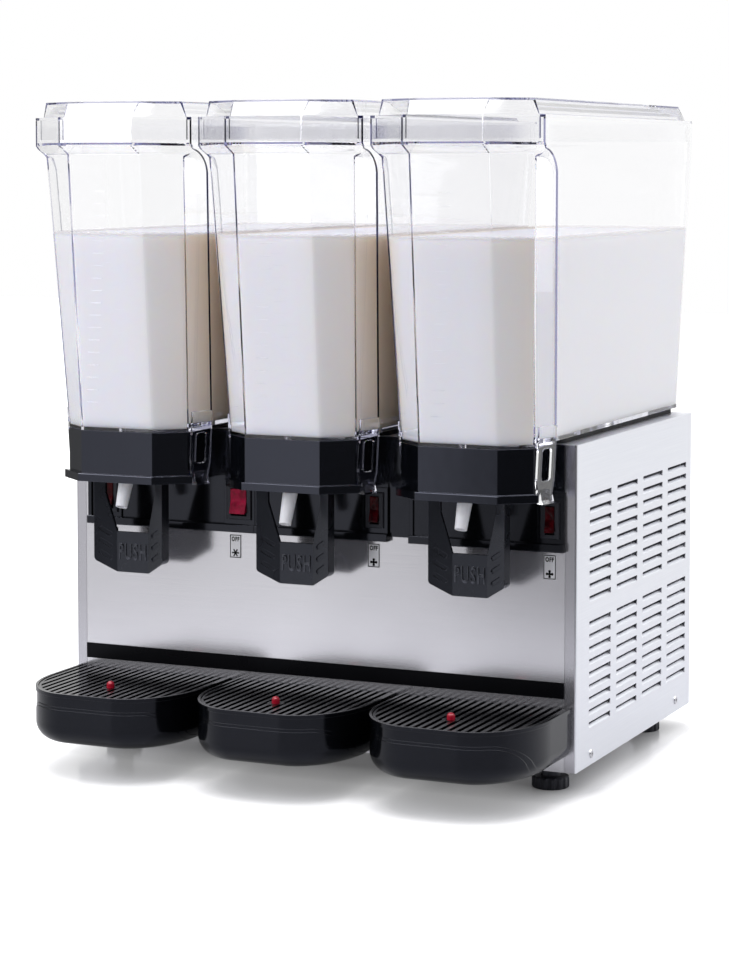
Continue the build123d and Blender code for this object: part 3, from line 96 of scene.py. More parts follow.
# gloss looks past the table's far part, to the surround
far = add(tree, "MapRange", {"Value": away.outputs["Value"], "From Min": NEAR, "From Max": FAR})
past = add(tree, "Math", {0: far.outputs[0], 1: path.outputs["Is Glossy Ray"]}, operation="MULTIPLY")
open_end = add(tree, "BsdfTransparent")
table = add(tree, "MixShader", {0: past.outputs[0], 1: both.outputs[0], 2: open_end.outputs[0]})
add(tree, "OutputMaterial", {"Surface": table.outputs[0]})
floor.data.materials.append(laminate)

# what gloss mirrors, by bearing in degrees from the front, right positive
SURROUND = [
    (-180, 1.0), (-146, 1.0), (-130, 0.22), (-116, 0.12), (-104, 0.35), (-88, 0.45), (-60, 0.55), (-40, 0.66),
    (-30, 0.7), (-26, 0.97), (-23.5, 0.95), (-21, 0.3), (-18, 0.08), (-6, 0.08), (28, 0.12), (50, 0.1),
    (63, 0.04), (78, 0.05), (90, 0.5), (104, 0.7), (132, 1.0), (180, 1.0)]
CANOPY = 5.0
world = bpy.data.worlds.new("white studio")
bpy.context.scene.world = world
world.use_nodes = True
tree = world.node_tree
tree.nodes.clear()
path = add(tree, "LightPath")
place = add(tree, "TexCoord")
split = add(tree, "SeparateXYZ", {0: place.outputs["Generated"]})
ahead = add(tree, "Math", {0: split.outputs["Y"], 1: -1.0}, operation="MULTIPLY")
bearing = add(tree, "Math", {0: split.outputs["X"], 1: ahead.outputs[0]}, operation="ARCTAN2")
round_way = add(tree, "MapRange", {"Value": bearing.outputs[0], "From Min": -math.pi, "From Max": math.pi})
boxes = add(tree, "ValToRGB", {"Fac": round_way.outputs[0]})
stops = boxes.color_ramp.elements
while len(stops) < len(SURROUND):
    stops.new(0.5)
for stop, (degrees, grey) in zip(stops, SURROUND):
    stop.position = (degrees + 180) / 360
    stop.color = (grey, grey, grey, 1)
overhead = add(tree, "MapRange", {"Value": split.outputs["Z"], "From Min": 0.55, "From Max": 0.75})
canopy = add(tree, "Mix", {0: overhead.outputs[0], 6: boxes.outputs["Color"], 7: (CANOPY, CANOPY, CANOPY, 1)},
             data_type="RGBA")
soft = add(tree, "Background", {"Color": linear("#fafaff"), "Strength": 0.6})
gloss = add(tree, "Background", {"Color": canopy.outputs[2], "Strength": 1.0})
# through the clear tanks the backdrop is white and the camera's side of the studio is a dim violet
behind = add(tree, "MapRange", {"Value": split.outputs["Y"], "From Min": -0.35, "From Max": 0.35})
plain = add(tree, "Math", {0: behind.outputs[0], 1: path.outputs["Is Camera Ray"]}, operation="MAXIMUM")
seen = add(tree, "Mix", {0: plain.outputs[0], 6: linear("#bcbcce"), 7: linear("#ffffff")}, data_type="RGBA")
white = add(tree, "Background", {"Color": seen.outputs[2], "Strength": 1.0})
inside = add(tree, "Math", {0: path.outputs["Transmission Depth"], 1: path.outputs["Is Glossy Ray"]},
             operation="MULTIPLY")
passed = add(tree, "Math", {0: inside.outputs[0], 1: path.outputs["Is Transmission Ray"]}, operation="MAXIMUM")
clear = add(tree, "Math", {0: path.outputs["Is Camera Ray"], 1: passed.outputs[0]}, operation="MAXIMUM",
            use_clamp=True)
lit = add(tree, "MixShader", {0: path.outputs["Is Glossy Ray"], 1: soft.outputs[0], 2: gloss.outputs[0]})
either = add(tree, "MixShader", {0: clear.outputs[0], 1: lit.outputs[0], 2: white.outputs[0]})
add(tree, "OutputWorld", {"Surface": either.outputs[0]})


def softbox(name, place, aim, width, height, watts):
    """A rectangular softbox that points at a spot and isn't seen itself."""
    bpy.ops.object.light_add(type="AREA", location=place)
    lamp = bpy.context.object
    lamp.name = name
    lamp.data.shape = "RECTANGLE"
    lamp.data.size = width
    lamp.data.size_y = height
    lamp.data.energy = watts
    lamp.data.color = linear("#fafbff")[:3]
    lamp.rotation_euler = (Vector(aim) - Vector(place)).to_track_quat("-Z", "Y").to_euler()
    lamp.visible_camera = False
    lamp.visible_glossy = False


softbox("overhead_softbox", (0.1, -0.2, 2.3), (0, 0, 0.3), 1.1, 1.1, 11)
softbox("right_softbox", (2.1, 0.9, 1.0), (0.2, 0, 0.4), 1.4, 1.6, 11)
softbox("left_softbox", (-1.1, -1.25, 1.0), (0, 0, 0.4), 0.9, 1.2, 11)

# The camera stands to the right of the front, level with the tank tops. The solved photograph is
# level with a large lens shift; most of that shift is given as a small downward tilt here.
CAMERA_PLACE = (1.14975, -2.55599, 0.62878)
CAMERA_TURN = 24.2265
CAMERA_TILT = 3.7586
CAMERA_LENS, CAMERA_SHIFT = 98.3984, -0.15
bpy.ops.object.camera_add(location=CAMERA_PLACE)
camera = bpy.context.object
camera.name = "photo_camera"
camera.rotation_euler = (math.radians(90 - CAMERA_TILT), 0, math.radians(CAMERA_TURN))
camera.data.sensor_width = 36
camera.data.lens = CAMERA_LENS
camera.data.shift_y = CAMERA_SHIFT
camera.data.clip_end = 60
scene = bpy.context.scene
scene.camera = camera
scene.view_settings.view_transform = "Standard"
# the clear tanks pass light through many walls
scene.cycles.max_bounces = 32
scene.cycles.diffuse_bounces = 6
scene.cycles.glossy_bounces = 28
scene.cycles.transmission_bounces = 28
scene.cycles.transparent_max_bounces = 32
scene.cycles.caustics_reflective = False
scene.cycles.caustics_refractive = False


# The cabinet: folded stainless sheet with a fine satin finish, spot welded into a box. The side
# panels carry banks of lanced louvres, and the front, rear and deck are flat sheets.
def dress(material, *names):
    """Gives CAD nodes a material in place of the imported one."""
    for name in names:
        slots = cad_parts[name].data.materials
        slots.clear()
        slots.append(material)


def satin_sheet(name, colour, dark, roughness, along, fold=None):
    """Stainless sheet: fine grit lines along one axis, a cloud in its shine, and a smoother front fold whose darker
    colour is a painted shade.
    """
    made, tree = blank_material(name)
    place = add(tree, "TexCoord")
    grit = 1 / 0.0007       # grit lines are near 0.1 mm; drawn at 0.7 mm so that they show close to
    run = 1 / 0.12          # and each is about 120 mm long
    scale = [run if axis == along else grit for axis in "XYZ"]
    turned = add(tree, "Mapping", {"Vector": place.outputs["Object"], "Scale": scale})
    lines = add(tree, "TexNoise", {"Vector": turned.outputs[0], "Scale": 1.0, "Detail": 3.0, "Roughness": 0.6})
    cloud = add(tree, "TexNoise", {"Vector": place.outputs["Object"], "Scale": 1 / 0.14, "Detail": 2.0})
    shade = add(tree, "ValToRGB", {"Fac": lines.outputs["Fac"]})
    shade.color_ramp.elements[0].position = 0.3
    shade.color_ramp.elements[0].color = linear(dark)
    shade.color_ramp.elements[1].position = 0.7
    shade.color_ramp.elements[1].color = linear(colour)
    rough = add(tree, "MapRange", {
        "Value": cloud.outputs["Fac"], "From Min": 0.3, "From Max": 0.7,
        "To Min": roughness - 0.025, "To Max": roughness + 0.025})
    # a fold that faces the front gets a smoother shine and a darker colour, a painted shade
    if fold:
        turn = add(tree, "SeparateXYZ", {0: place.outputs["Normal"]})
        front = add(tree, "MapRange", {"Value": turn.outputs["Y"], "From Min": -0.8, "From Max": -0.95})
        shade = add(tree, "Mix", {0: front.outputs[0], 6: shade.outputs["Color"], 7: linear(fold[0])},
                    data_type="RGBA")
        rough = add(tree, "Mix", {0: front.outputs[0], 2: rough.outputs[0], 3: fold[1]})
    relief = add(tree, "Bump", {"Height": lines.outputs["Fac"], "Strength": 0.03, "Distance": 0.0001})
    # part of the light is scattered by the grit, so the sheet isn't wholly a mirror
    steel = add(tree, "BsdfPrincipled", {
        "Base Color": shade.outputs[2 if fold else 0], "Metallic": 0.86, "Roughness": rough.outputs[0],
        "Normal": relief.outputs[0]})
    add(tree, "OutputMaterial", {"Surface": steel.outputs[0]})
    return made


front_steel = satin_sheet("satin stainless steel, front", "#dedde3", "#d8d7dd", 0.17, "X")
# the side panels' front returns carry that painted shade
side_steel = satin_sheet("satin stainless steel, sides", "#eceef4", "#e6e8ef", 0.36, "Y", ("#c6c5cc", 0.18))
deck_steel = satin_sheet("satin stainless steel, deck and pan", "#dcdce2", "#d6d6dc", 0.34, "X")
dress(front_steel, "front_panel")
dress(side_steel, "side_panel_left", "side_panel_right")
dress(deck_steel, "base_pan", "top_deck", "rear_panel")


# The machinery: drawn stainless domes, pins and springs, painted motor casings, an enamelled
# compressor pot, aluminium fins and copper tube. All of it is inside the cabinet or the tanks.
def plain_metal(name, light, dark, metallic, roughness, grain):
    """A metal or painted finish whose tone and gloss wander a little over a grain of that size."""
    made, tree = blank_material(name)
    place = add(tree, "TexCoord")
    patch = add(tree, "TexNoise", {"Vector": place.outputs["Object"], "Scale": 1 / grain, "Detail": 4.0})
    tint = add(tree, "ValToRGB", {"Fac": patch.outputs["Fac"]})
    tint.color_ramp.elements[0].color = linear(dark)
    tint.color_ramp.elements[1].color = linear(light)
    rough = add(tree, "MapRange", {
        "Value": patch.outputs["Fac"], "To Min": roughness * 0.8, "To Max": roughness * 1.25})
    relief = add(tree, "Bump", {"Height": patch.outputs["Fac"], "Strength": 0.08, "Distance": 0.0003})
    skin = add(tree, "BsdfPrincipled", {
        "Base Color": tint.outputs["Color"], "Metallic": metallic, "Roughness": rough.outputs[0],
        "Normal": relief.outputs[0]})
    add(tree, "OutputMaterial", {"Surface": skin.outputs[0]})
    return made


bright_steel = plain_metal("drawn stainless steel", "#d8d8dc", "#c2c2c8", 1.0, 0.2, 0.004)
motor_paint = plain_metal("grey stove enamel", "#6b6e73", "#5c5f64", 0.0, 0.42, 0.003)
pot_enamel = plain_metal("black stove enamel", "#17171a", "#0d0d0f", 0.0, 0.3, 0.004)
fin_metal = plain_metal("rolled aluminium", "#d9dadd", "#c4c6ca", 1.0, 0.34, 0.002)
copper = plain_metal("drawn copper", "#c98a63", "#a8653f", 1.0, 0.3, 0.006)
dress(bright_steel, "evaporators", "lever_pins", "lever_springs")
dress(motor_paint, "stirrer_motors", "fan_shroud")
dress(pot_enamel, "compressor")
dress(fin_metal, "condenser")
dress(copper, "refrigerant_lines")


# The cabinet's screws: domed stainless heads with a cross recess, two low on each side panel and
# eight round the rear panel, turned down onto the sheet.
def choose(piece, kind, test):
    """Selects a piece's vertices, edges or faces by a test, and leaves the piece in edit mode."""
    bpy.ops.object.mode_set(mode="EDIT")
    bpy.ops.mesh.select_mode(type=kind)
    bpy.ops.mesh.select_all(action="DESELECT")
    bpy.ops.object.mode_set(mode="OBJECT")
    group = {"VERT": piece.data.vertices, "EDGE": piece.data.edges, "FACE": piece.data.polygons}[kind]
    for item in group:
        item.select = bool(test(item))
    bpy.ops.object.mode_set(mode="EDIT")


def set_out(model, name, place, turn=(0, 0, 0)):
    """A copy of a model with a mesh of its own, turned and moved, with its place kept in the mesh."""
    bpy.ops.object.select_all(action="DESELECT")
    model.select_set(True)
    bpy.context.view_layer.objects.active = model
    bpy.ops.object.duplicate(linked=False)
    copy = bpy.context.object
    copy.name = name
    copy.location = place
    copy.rotation_euler = turn
    bpy.ops.object.transform_apply(location=True, rotation=True, scale=True)
    return copy


SCREW_D, SCREW_H, SCREW_SLOT = 0.009, 0.0012, 0.0012
bpy.ops.mesh.primitive_cylinder_add(vertices=36, radius=SCREW_D / 2, depth=SCREW_H, location=(0, 0, SCREW_H / 2))
screw = bpy.context.object
bpy.ops.object.transform_apply(location=True)
choose(screw, "FACE", lambda f: f.normal.z > 0.9)
bpy.ops.mesh.bevel(offset=SCREW_H * 0.85, segments=5)
bpy.ops.object.mode_set(mode="OBJECT")
bpy.ops.mesh.primitive_cube_add(size=1, location=(0, 0, SCREW_H))
bit = bpy.context.object
bit.scale = (SCREW_SLOT, SCREW_D * 0.55, SCREW_H * 1.3)
bpy.ops.object.transform_apply(location=True, scale=True)
bpy.ops.object.mode_set(mode="EDIT")
bpy.ops.mesh.select_all(action="SELECT")
bpy.ops.mesh.duplicate()
bpy.ops.transform.rotate(value=math.pi / 2, orient_axis="Z", center_override=(0, 0, SCREW_H))
bpy.ops.object.mode_set(mode="OBJECT")
bpy.ops.object.select_all(action="DESELECT")
screw.select_set(True)
bpy.context.view_layer.objects.active = screw
recess = screw.modifiers.new("cross recess", "BOOLEAN")
recess.object = bit
recess.operation = "DIFFERENCE"
recess.solver = "EXACT"
recess.use_self = True
bpy.ops.object.modifier_apply(modifier=recess.name)
bpy.data.objects.remove(bit)
bpy.ops.object.shade_smooth_by_angle(angle=math.radians(40))
screw.data.materials.append(bright_steel)
SIDE_X, REAR_Y = 0.285, 0.257
SIDE_SCREWS = ((-0.077, 0.0345), (0.204, 0.0365))
REAR_SCREWS = ((-0.26, 0.036), (0.26, 0.036), (-0.26, 0.188), (0.26, 0.188), (-0.26, 0.338), (0.26, 0.338),
               (0.0, 0.036), (0.0, 0.338))
screws = []
for side, turn in ((1, math.pi / 2), (-1, -math.pi / 2)):
    for y, z in SIDE_SCREWS:
        screws.append(set_out(screw, f"side_screw_{len(screws) + 1}", (side * SIDE_X, y, z), (0, turn, 0)))
for x, z in REAR_SCREWS:
    screws.append(set_out(screw, f"rear_screw_{len(screws) - 3}", (x, REAR_Y, z), (-math.pi / 2, 0, 0)))
for piece in screws:
    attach(piece, "cabinet")


# The black mouldings: fascia, tap panels, bowl seats, levers, trays, grilles, housings and feet are
# injection-moulded ABS, polished or finely grained by the tool, with slightly rounded edges, so they
# mirror the studio more or less sharply. The strip glued on the front panel is a satin black film.
def black_moulding(name, colour, roughness, level, sheen, edge, grain, relief):
    """Moulded black plastic: sink marks in its polish, fine tool grain, and rounded edges."""
    made, tree = blank_material(name)
    place = add(tree, "TexCoord")
    flow = add(tree, "TexNoise", {"Vector": place.outputs["Object"], "Scale": 1 / 0.045, "Detail": 2.0})
    fine = add(tree, "TexNoise", {"Vector": place.outputs["Object"], "Scale": 1 / grain, "Detail": 2.0})
    tint = add(tree, "ValToRGB", {"Fac": flow.outputs["Fac"]})
    tint.color_ramp.elements[0].color = linear(colour)
    tint.color_ramp.elements[1].color = [min(1.0, c * 1.3 + 0.0004) for c in linear(colour)[:3]] + [1.0]
    rough = add(tree, "MapRange", {
        "Value": flow.outputs["Fac"], "From Min": 0.3, "From Max": 0.7,
        "To Min": roughness * 0.85, "To Max": roughness * 1.2})
    rounded = add(tree, "Bevel", {"Radius": edge}, samples=4)
    sunk = add(tree, "Bump", {
        "Height": flow.outputs["Fac"], "Strength": 0.05, "Distance": 0.002, "Normal": rounded.outputs[0]})
    skin = add(tree, "Bump", {
        "Height": fine.outputs["Fac"], "Strength": relief, "Distance": 0.0002, "Normal": sunk.outputs[0]})
    plastic = add(tree, "BsdfPrincipled", {
        "Base Color": tint.outputs["Color"], "Roughness": rough.outputs[0], "IOR": 1.54,
        "Specular IOR Level": level, "Specular Tint": linear(sheen), "Normal": skin.outputs[0]})
    add(tree, "OutputMaterial", {"Surface": plastic.outputs[0]})
    return made


gloss_black = black_moulding("polished black ABS", "#050609", 0.1, 0.75, "#dfe4ff", 0.0007, 0.0035, 0.02)
satin_black = black_moulding("spark-grained black ABS", "#141519", 0.38, 0.5, "#eef0ff", 0.0006, 0.0009, 0.14)
lever_black = black_moulding("satin charcoal ABS", "#101216", 0.28, 0.6, "#e8ecff", 0.0009, 0.0011, 0.1)
tray_black = black_moulding("polished black ABS, trays", "#040507", 0.12, 0.24, "#e6eaff", 0.0009, 0.004, 0.03)
grille_black = black_moulding("satin black ABS, grilles", "#040406", 0.2, 0.35, "#e6eaff", 0.0005, 0.004, 0.03)
strip_black = black_moulding("satin black film", "#060608", 0.3, 0.12, "#eef0ff", 0.0003, 0.0012, 0.05)
panel_black = black_moulding("polished black ABS, panels", "#060709", 0.12, 0.45, "#e6eaff", 0.0007, 0.0035, 0.02)
dress(strip_black, "front_strip")
dress(panel_black, "front_fascia", "tap_infill")
dress(satin_black, "switch_housings", "power_inlet", "condenser_fan")
for count in (1, 2, 3):
    dress(panel_black, f"tap_panel_{count}")
    dress(gloss_black, f"bowl_seat_{count}")
    dress(tray_black, f"drip_tray_{count}")
    dress(grille_black, f"drip_grille_{count}")
    dress(lever_black, f"push_lever_{count}")
for count in (1, 2, 3, 4):
    dress(satin_black, f"foot_{count}")

# The mains inlet's blades: three nickel-plated brass tongues with chamfered tips, pressed into the
# socket's floor, and the two small screws that hold its flange to the rear panel.
nickel = plain_metal("nickel plate on brass", "#d3cfc4", "#b9b4a8", 1.0, 0.22, 0.002)
BLADE_W, BLADE_H, BLADE_L = 0.0023, 0.0063, 0.0175
bpy.ops.mesh.primitive_cube_add(size=1)
blade = bpy.context.object
blade.scale = (BLADE_W, BLADE_L, BLADE_H)
bpy.ops.object.transform_apply(scale=True)
choose(blade, "FACE", lambda f: f.normal.y > 0.9)
bpy.ops.mesh.bevel(offset=0.0008, segments=3)
bpy.ops.object.mode_set(mode="OBJECT")
bpy.ops.object.shade_smooth_by_angle(angle=math.radians(40))
blade.data.materials.append(nickel)
INLET_X, INLET_Z, BLADE_END, BLADE_STEP = -0.225, 0.0795, 0.2559, 0.007
FLANGE_Y, FLANGE_SCREW_X, SMALL = 0.259, 0.0265, 0.42
for step in (-1, 0, 1):
    middle = (INLET_X + step * BLADE_STEP, BLADE_END - BLADE_L / 2, INLET_Z)
    tongue = set_out(blade, f"inlet_blade_{step + 2}", middle)
    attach(tongue, "cabinet")
bpy.data.objects.remove(blade)
for count, side in ((1, -1), (2, 1)):
    small = set_out(screw, f"inlet_screw_{count}", (0, 0, 0))
    small.scale = (SMALL, SMALL, SMALL)
    small.rotation_euler = (-math.pi / 2, 0, 0)
    small.location = (INLET_X + side * FLANGE_SCREW_X, FLANGE_Y, INLET_Z)
    bpy.ops.object.transform_apply(location=True, rotation=True, scale=True)
    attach(small, "cabinet")
bpy.data.objects.remove(screw)

# The switches' legend plates: thin stainless plates glued under each switch, with a printed border,
# the word OFF and a symbol: a snow crystal for the cooling, a stirrer's blades for the other three.
PLATE_W, PLATE_H, PLATE_T, PLATE_ROUND = 0.0133, 0.0246, 0.0004, 0.0008
BORDER_IN, BORDER_W, INK_T = 0.0002, 0.0009, 0.00005
# the word is set bold by its bevel, then narrowed and pressed nearly flat
OFF_SIZE, OFF_SPACE, OFF_RISE, OFF_BOLD = 0.0061, 1.2, 0.00003, 0.00034
OFF_NARROW, OFF_FLAT, OFF_LIFT = 0.74, 0.14, 0.00002
WORD_UP, SIGN_DOWN = 0.3, 0.28
ink, tree = blank_material("black screen ink")
place = add(tree, "TexCoord")
film = add(tree, "TexNoise", {"Vector": place.outputs["Object"], "Scale": 1 / 0.0008, "Detail": 2.0})
tint = add(tree, "ValToRGB", {"Fac": film.outputs["Fac"]})
tint.color_ramp.elements[0].color = linear("#020203")
tint.color_ramp.elements[1].color = linear("#08080a")
printed = add(tree, "BsdfPrincipled", {
    "Base Color": tint.outputs["Color"], "Roughness": 0.5, "Specular IOR Level": 0.1})
add(tree, "OutputMaterial", {"Surface": printed.outputs[0]})
plate_steel = satin_sheet("satin stainless steel, plates", "#eeeef2", "#e8e8ec", 0.4, "X")


def symbol(radii, turn):
    """A flat printed sign: a ring of points drawn in or out to those radii, then given the ink's thickness."""
    bpy.ops.mesh.primitive_circle_add(vertices=len(radii), radius=1, fill_type="NGON", rotation=(0, 0, turn))
    sign = bpy.context.object
    bpy.ops.object.transform_apply(rotation=True)
    for index, radius in enumerate(radii):
        choose(sign, "VERT", lambda v: v.index == index)
        bpy.ops.transform.resize(value=(radius, radius, 1), center_override=(0, 0, 0))
        bpy.ops.object.mode_set(mode="OBJECT")
    bpy.ops.object.mode_set(mode="EDIT")
    bpy.ops.mesh.select_all(action="SELECT")
    bpy.ops.mesh.extrude_region_move(TRANSFORM_OT_translate={"value": (0, 0, INK_T)})
    bpy.ops.mesh.select_all(action="SELECT")
    bpy.ops.mesh.normals_make_consistent(inside=False)
    bpy.ops.object.mode_set(mode="OBJECT")
    return sign


def legend_plate(name, radii, turn):
    """A plate that lies flat, face up, with its border, word and symbol."""
    bpy.ops.mesh.primitive_cube_add(size=1, location=(0, 0, PLATE_T / 2))
    plate = bpy.context.object
    plate.name = name
    plate.scale = (PLATE_W, PLATE_H, PLATE_T)
    bpy.ops.object.transform_apply(location=True, scale=True)
    plate.data.materials.append(plate_steel)
    plate.data.materials.append(ink)
    choose(plate, "EDGE", lambda e: abs((plate.data.vertices[e.vertices[0]].co
                                         - plate.data.vertices[e.vertices[1]].co).z) > PLATE_T / 2)
    bpy.ops.mesh.bevel(offset=PLATE_ROUND, segments=4)
    bpy.ops.object.mode_set(mode="OBJECT")
    choose(plate, "FACE", lambda f: f.normal.z > 0.9)
    bpy.ops.mesh.inset(thickness=BORDER_IN)
    plate.active_material_index = 1
    bpy.ops.object.material_slot_assign()
    bpy.ops.mesh.inset(thickness=BORDER_W)
    plate.active_material_index = 0
    bpy.ops.object.material_slot_assign()
    bpy.ops.object.mode_set(mode="OBJECT")
    bpy.ops.object.text_add()
    word = bpy.context.object
    word.data.body = "OFF"
    word.data.align_x = "CENTER"
    word.data.align_y = "CENTER"
    word.data.size = OFF_SIZE
    word.data.space_character = OFF_SPACE
    word.data.extrude = OFF_RISE
    word.data.bevel_depth = OFF_BOLD
    word.data.bevel_resolution = 0
    bpy.ops.object.convert(target="MESH")
    word = bpy.context.object
    word.location = (0, PLATE_H * WORD_UP, PLATE_T + OFF_LIFT)
    word.scale = (OFF_NARROW, 1, OFF_FLAT)
    bpy.ops.object.transform_apply(location=True, scale=True)
    word.data.materials.append(ink)
    sign = symbol(radii, turn)
    sign.location = (0, -PLATE_H * SIGN_DOWN, PLATE_T)
    bpy.ops.object.transform_apply(location=True)
    sign.data.materials.append(ink)
    bpy.ops.object.select_all(action="DESELECT")
    for item in (word, sign, plate):
        item.select_set(True)
    bpy.context.view_layer.objects.active = plate
    bpy.ops.object.join()
    return plate


CRYSTAL = [0.0043, 0.0043, 0.0015] * 6
BLADES = [0.0042, 0.0037, 0.0013, 0.0037] * 4
crystal_plate = legend_plate("crystal_plate_model", CRYSTAL, math.radians(20))
blades_plate = legend_plate("blades_plate_model", BLADES, 0)
PANEL_Y, PLATE_Z = -0.123, 0.2289
PLATES = ((crystal_plate, -0.0930), (blades_plate, -0.2405), (blades_plate, 0.0655), (blades_plate, 0.2567))
for count, (model, x) in enumerate(PLATES, 1):
    plate = set_out(model, f"legend_plate_{count}", (x, PANEL_Y, PLATE_Z), (math.pi / 2, 0, 0))
    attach(plate, "cabinet")
bpy.data.objects.remove(crystal_plate)
bpy.data.objects.remove(blades_plate)


# The rocker switches: translucent red polycarbonate caps, snapped into their housings over a lamp that
# is off. The wide one is a clear crimson; the narrow ones sit in the seats' shade, which is painted into them as a
# darker red that looks nearly black.
def red_cap(name, light, dark, level):
    """Translucent red plastic whose colour deepens in patches, with rounded, glossy edges."""
    made, tree = blank_material(name)
    place = add(tree, "TexCoord")
    depths = add(tree, "TexNoise", {"Vector": place.outputs["Object"], "Scale": 1 / 0.008, "Detail": 2.0})
    tint = add(tree, "ValToRGB", {"Fac": depths.outputs["Fac"]})
    tint.color_ramp.elements[0].position = 0.35
    tint.color_ramp.elements[0].color = linear(dark)
    tint.color_ramp.elements[1].position = 0.7
    tint.color_ramp.elements[1].color = linear(light)
    rounded = add(tree, "Bevel", {"Radius": 0.0009}, samples=6)
    ripple = add(tree, "TexNoise", {"Vector": place.outputs["Object"], "Scale": 1 / 0.006, "Detail": 1.0})
    uneven = add(tree, "Bump", {
        "Height": ripple.outputs["Fac"], "Strength": 0.5, "Distance": 0.0012, "Normal": rounded.outputs[0]})
    cap = add(tree, "BsdfPrincipled", {
        "Base Color": tint.outputs["Color"], "Roughness": 0.14, "IOR": 1.58, "Specular IOR Level": level,
        "Normal": uneven.outputs[0]})
    add(tree, "OutputMaterial", {"Surface": cap.outputs[0]})
    return made


dress(red_cap("crimson translucent polycarbonate", "#b00c3e", "#740626", 0.13), "rocker_main")
# the narrow caps' darker red is a painted shade of the seats above them
dress(red_cap("red translucent polycarbonate, painted shade", "#4a040d", "#240206", 0.08), "rocker_1", "rocker_2", "rocker_3")

# The word on each lever: raised letters on its flat centre face, moulded in one with the lever. Their
# tops are polished by the tool, so they catch more light than the satin face round them.
WORD_W, WORD_H, WORD_RISE = 0.0328, 0.0178, 0.0007
letter_black = black_moulding("polished charcoal ABS", "#0c0d10", 0.16, 0.9, "#e8ecff", 0.0004, 0.0011, 0.05)
bpy.ops.object.text_add()
word = bpy.context.object
word.data.body = "PUSH"
word.data.align_x = "CENTER"
word.data.align_y = "CENTER"
word.data.size = 0.02
word.data.offset = 0.0001
word.data.space_character = 1.15
word.data.extrude = WORD_RISE / 2
word.data.bevel_depth = 0.00032
word.data.bevel_resolution = 2
bpy.ops.object.convert(target="MESH")
word = bpy.context.object
bpy.context.view_layer.update()
word.scale = (WORD_W / word.dimensions.x, WORD_H / word.dimensions.y, 1)
bpy.ops.object.transform_apply(scale=True)
middle = [sum(corner[axis] for corner in word.bound_box) / 8 for axis in (0, 1)]
word.location = (-middle[0], -middle[1], 0)
bpy.ops.object.transform_apply(location=True)
bpy.ops.object.mode_set(mode="EDIT")
bpy.ops.mesh.select_all(action="SELECT")
bpy.ops.mesh.remove_doubles(threshold=0.00001)
bpy.ops.object.mode_set(mode="OBJECT")
bpy.ops.object.shade_smooth_by_angle(angle=math.radians(40))
word.data.materials.append(letter_black)
LEVER_FACE_Y, WORD_Z = -0.170, 0.2235
for count, x in enumerate((-0.19, 0.0, 0.19), 1):
    letters = set_out(word, f"push_letters_{count}", (x, LEVER_FACE_Y, WORD_Z), (math.pi / 2, 0, 0))
    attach(letters, f"lever_{count}")
bpy.data.objects.remove(word)

# The tap tubes: short soft tubes of white silicone that hang in the seats below the tanks, where the
# levers pinch them. They are moulded, then cut by hand, and have a waxy sheen.
silicone, tree = blank_material("white silicone")
place = add(tree, "TexCoord")
bloom = add(tree, "TexNoise", {"Vector": place.outputs["Object"], "Scale": 1 / 0.006, "Detail": 3.0})
tint = add(tree, "ValToRGB", {"Fac": bloom.outputs["Fac"]})
tint.color_ramp.elements[0].color = linear("#ececf0")
tint.color_ramp.elements[1].color = linear("#f7f7f9")
tube = add(tree, "BsdfPrincipled", {
    "Base Color": tint.outputs["Color"], "Roughness": 0.42, "Subsurface Weight": 0.3,
    "Subsurface Radius": (1.0, 0.9, 0.8), "Subsurface Scale": 0.003})
add(tree, "OutputMaterial", {"Surface": tube.outputs[0]})
dress(silicone, "tap_tubes")

# The level floats: bright red polypropylene, moulded in one piece. Each stands loose in its tray, and
# its stem rises through the grille as the tray fills.
red_float, tree = blank_material("red polypropylene")
place = add(tree, "TexCoord")
mottle = add(tree, "TexNoise", {"Vector": place.outputs["Object"], "Scale": 1 / 0.005, "Detail": 2.0})
tint = add(tree, "ValToRGB", {"Fac": mottle.outputs["Fac"]})
tint.color_ramp.elements[0].color = linear("#a80f26")
tint.color_ramp.elements[1].color = linear("#c81a38")
float_body = add(tree, "BsdfPrincipled", {"Base Color": tint.outputs["Color"], "Roughness": 0.2})
add(tree, "OutputMaterial", {"Surface": float_body.outputs[0]})
for count in (1, 2, 3):
    dress(red_float, f"level_float_{count}")

# The seals under the tanks: die-cut frames of black closed-cell rubber, laid between tank and deck.
# Their cut cells make them matt and slightly dusty to the eye.
seal_rubber, tree = blank_material("black closed-cell rubber")
place = add(tree, "TexCoord")
cells = add(tree, "TexNoise", {"Vector": place.outputs["Object"], "Scale": 1 / 0.0012, "Detail": 2.0})
tint = add(tree, "ValToRGB", {"Fac": cells.outputs["Fac"]})
tint.color_ramp.elements[0].color = linear("#0b0b0c")
tint.color_ramp.elements[1].color = linear("#1b1b1d")
pores = add(tree, "Bump", {"Height": cells.outputs["Fac"], "Strength": 0.3, "Distance": 0.0003})
rubber = add(tree, "BsdfPrincipled", {
    "Base Color": tint.outputs["Color"], "Roughness": 0.78, "Normal": pores.outputs[0]})
add(tree, "OutputMaterial", {"Surface": rubber.outputs[0]})
dress(seal_rubber, "tank_seals")

# The tanks and lids: injection-moulded polycarbonate, water clear, with a faint violet tint that
# gathers where one looks along a wall. Lamps pass straight through it, as through a thin wall.
clear_plastic, tree = blank_material("clear moulded polycarbonate")
path = add(tree, "LightPath")
place = add(tree, "TexCoord")
ripple = add(tree, "TexNoise", {"Vector": place.outputs["Object"], "Scale": 1 / 0.06, "Detail": 1.0})
waves = add(tree, "Bump", {"Height": ripple.outputs["Fac"], "Strength": 0.02, "Distance": 0.001})
glass = add(tree, "BsdfPrincipled", {
    "Base Color": linear("#ffffff"), "Roughness": 0.0, "IOR": 1.58, "Transmission Weight": 1.0,
    "Normal": waves.outputs[0]})
through = add(tree, "BsdfTransparent", {"Color": linear("#fafafd")})
straight = add(tree, "Math", {0: path.outputs["Is Shadow Ray"], 1: path.outputs["Is Diffuse Ray"]},
               operation="MAXIMUM")
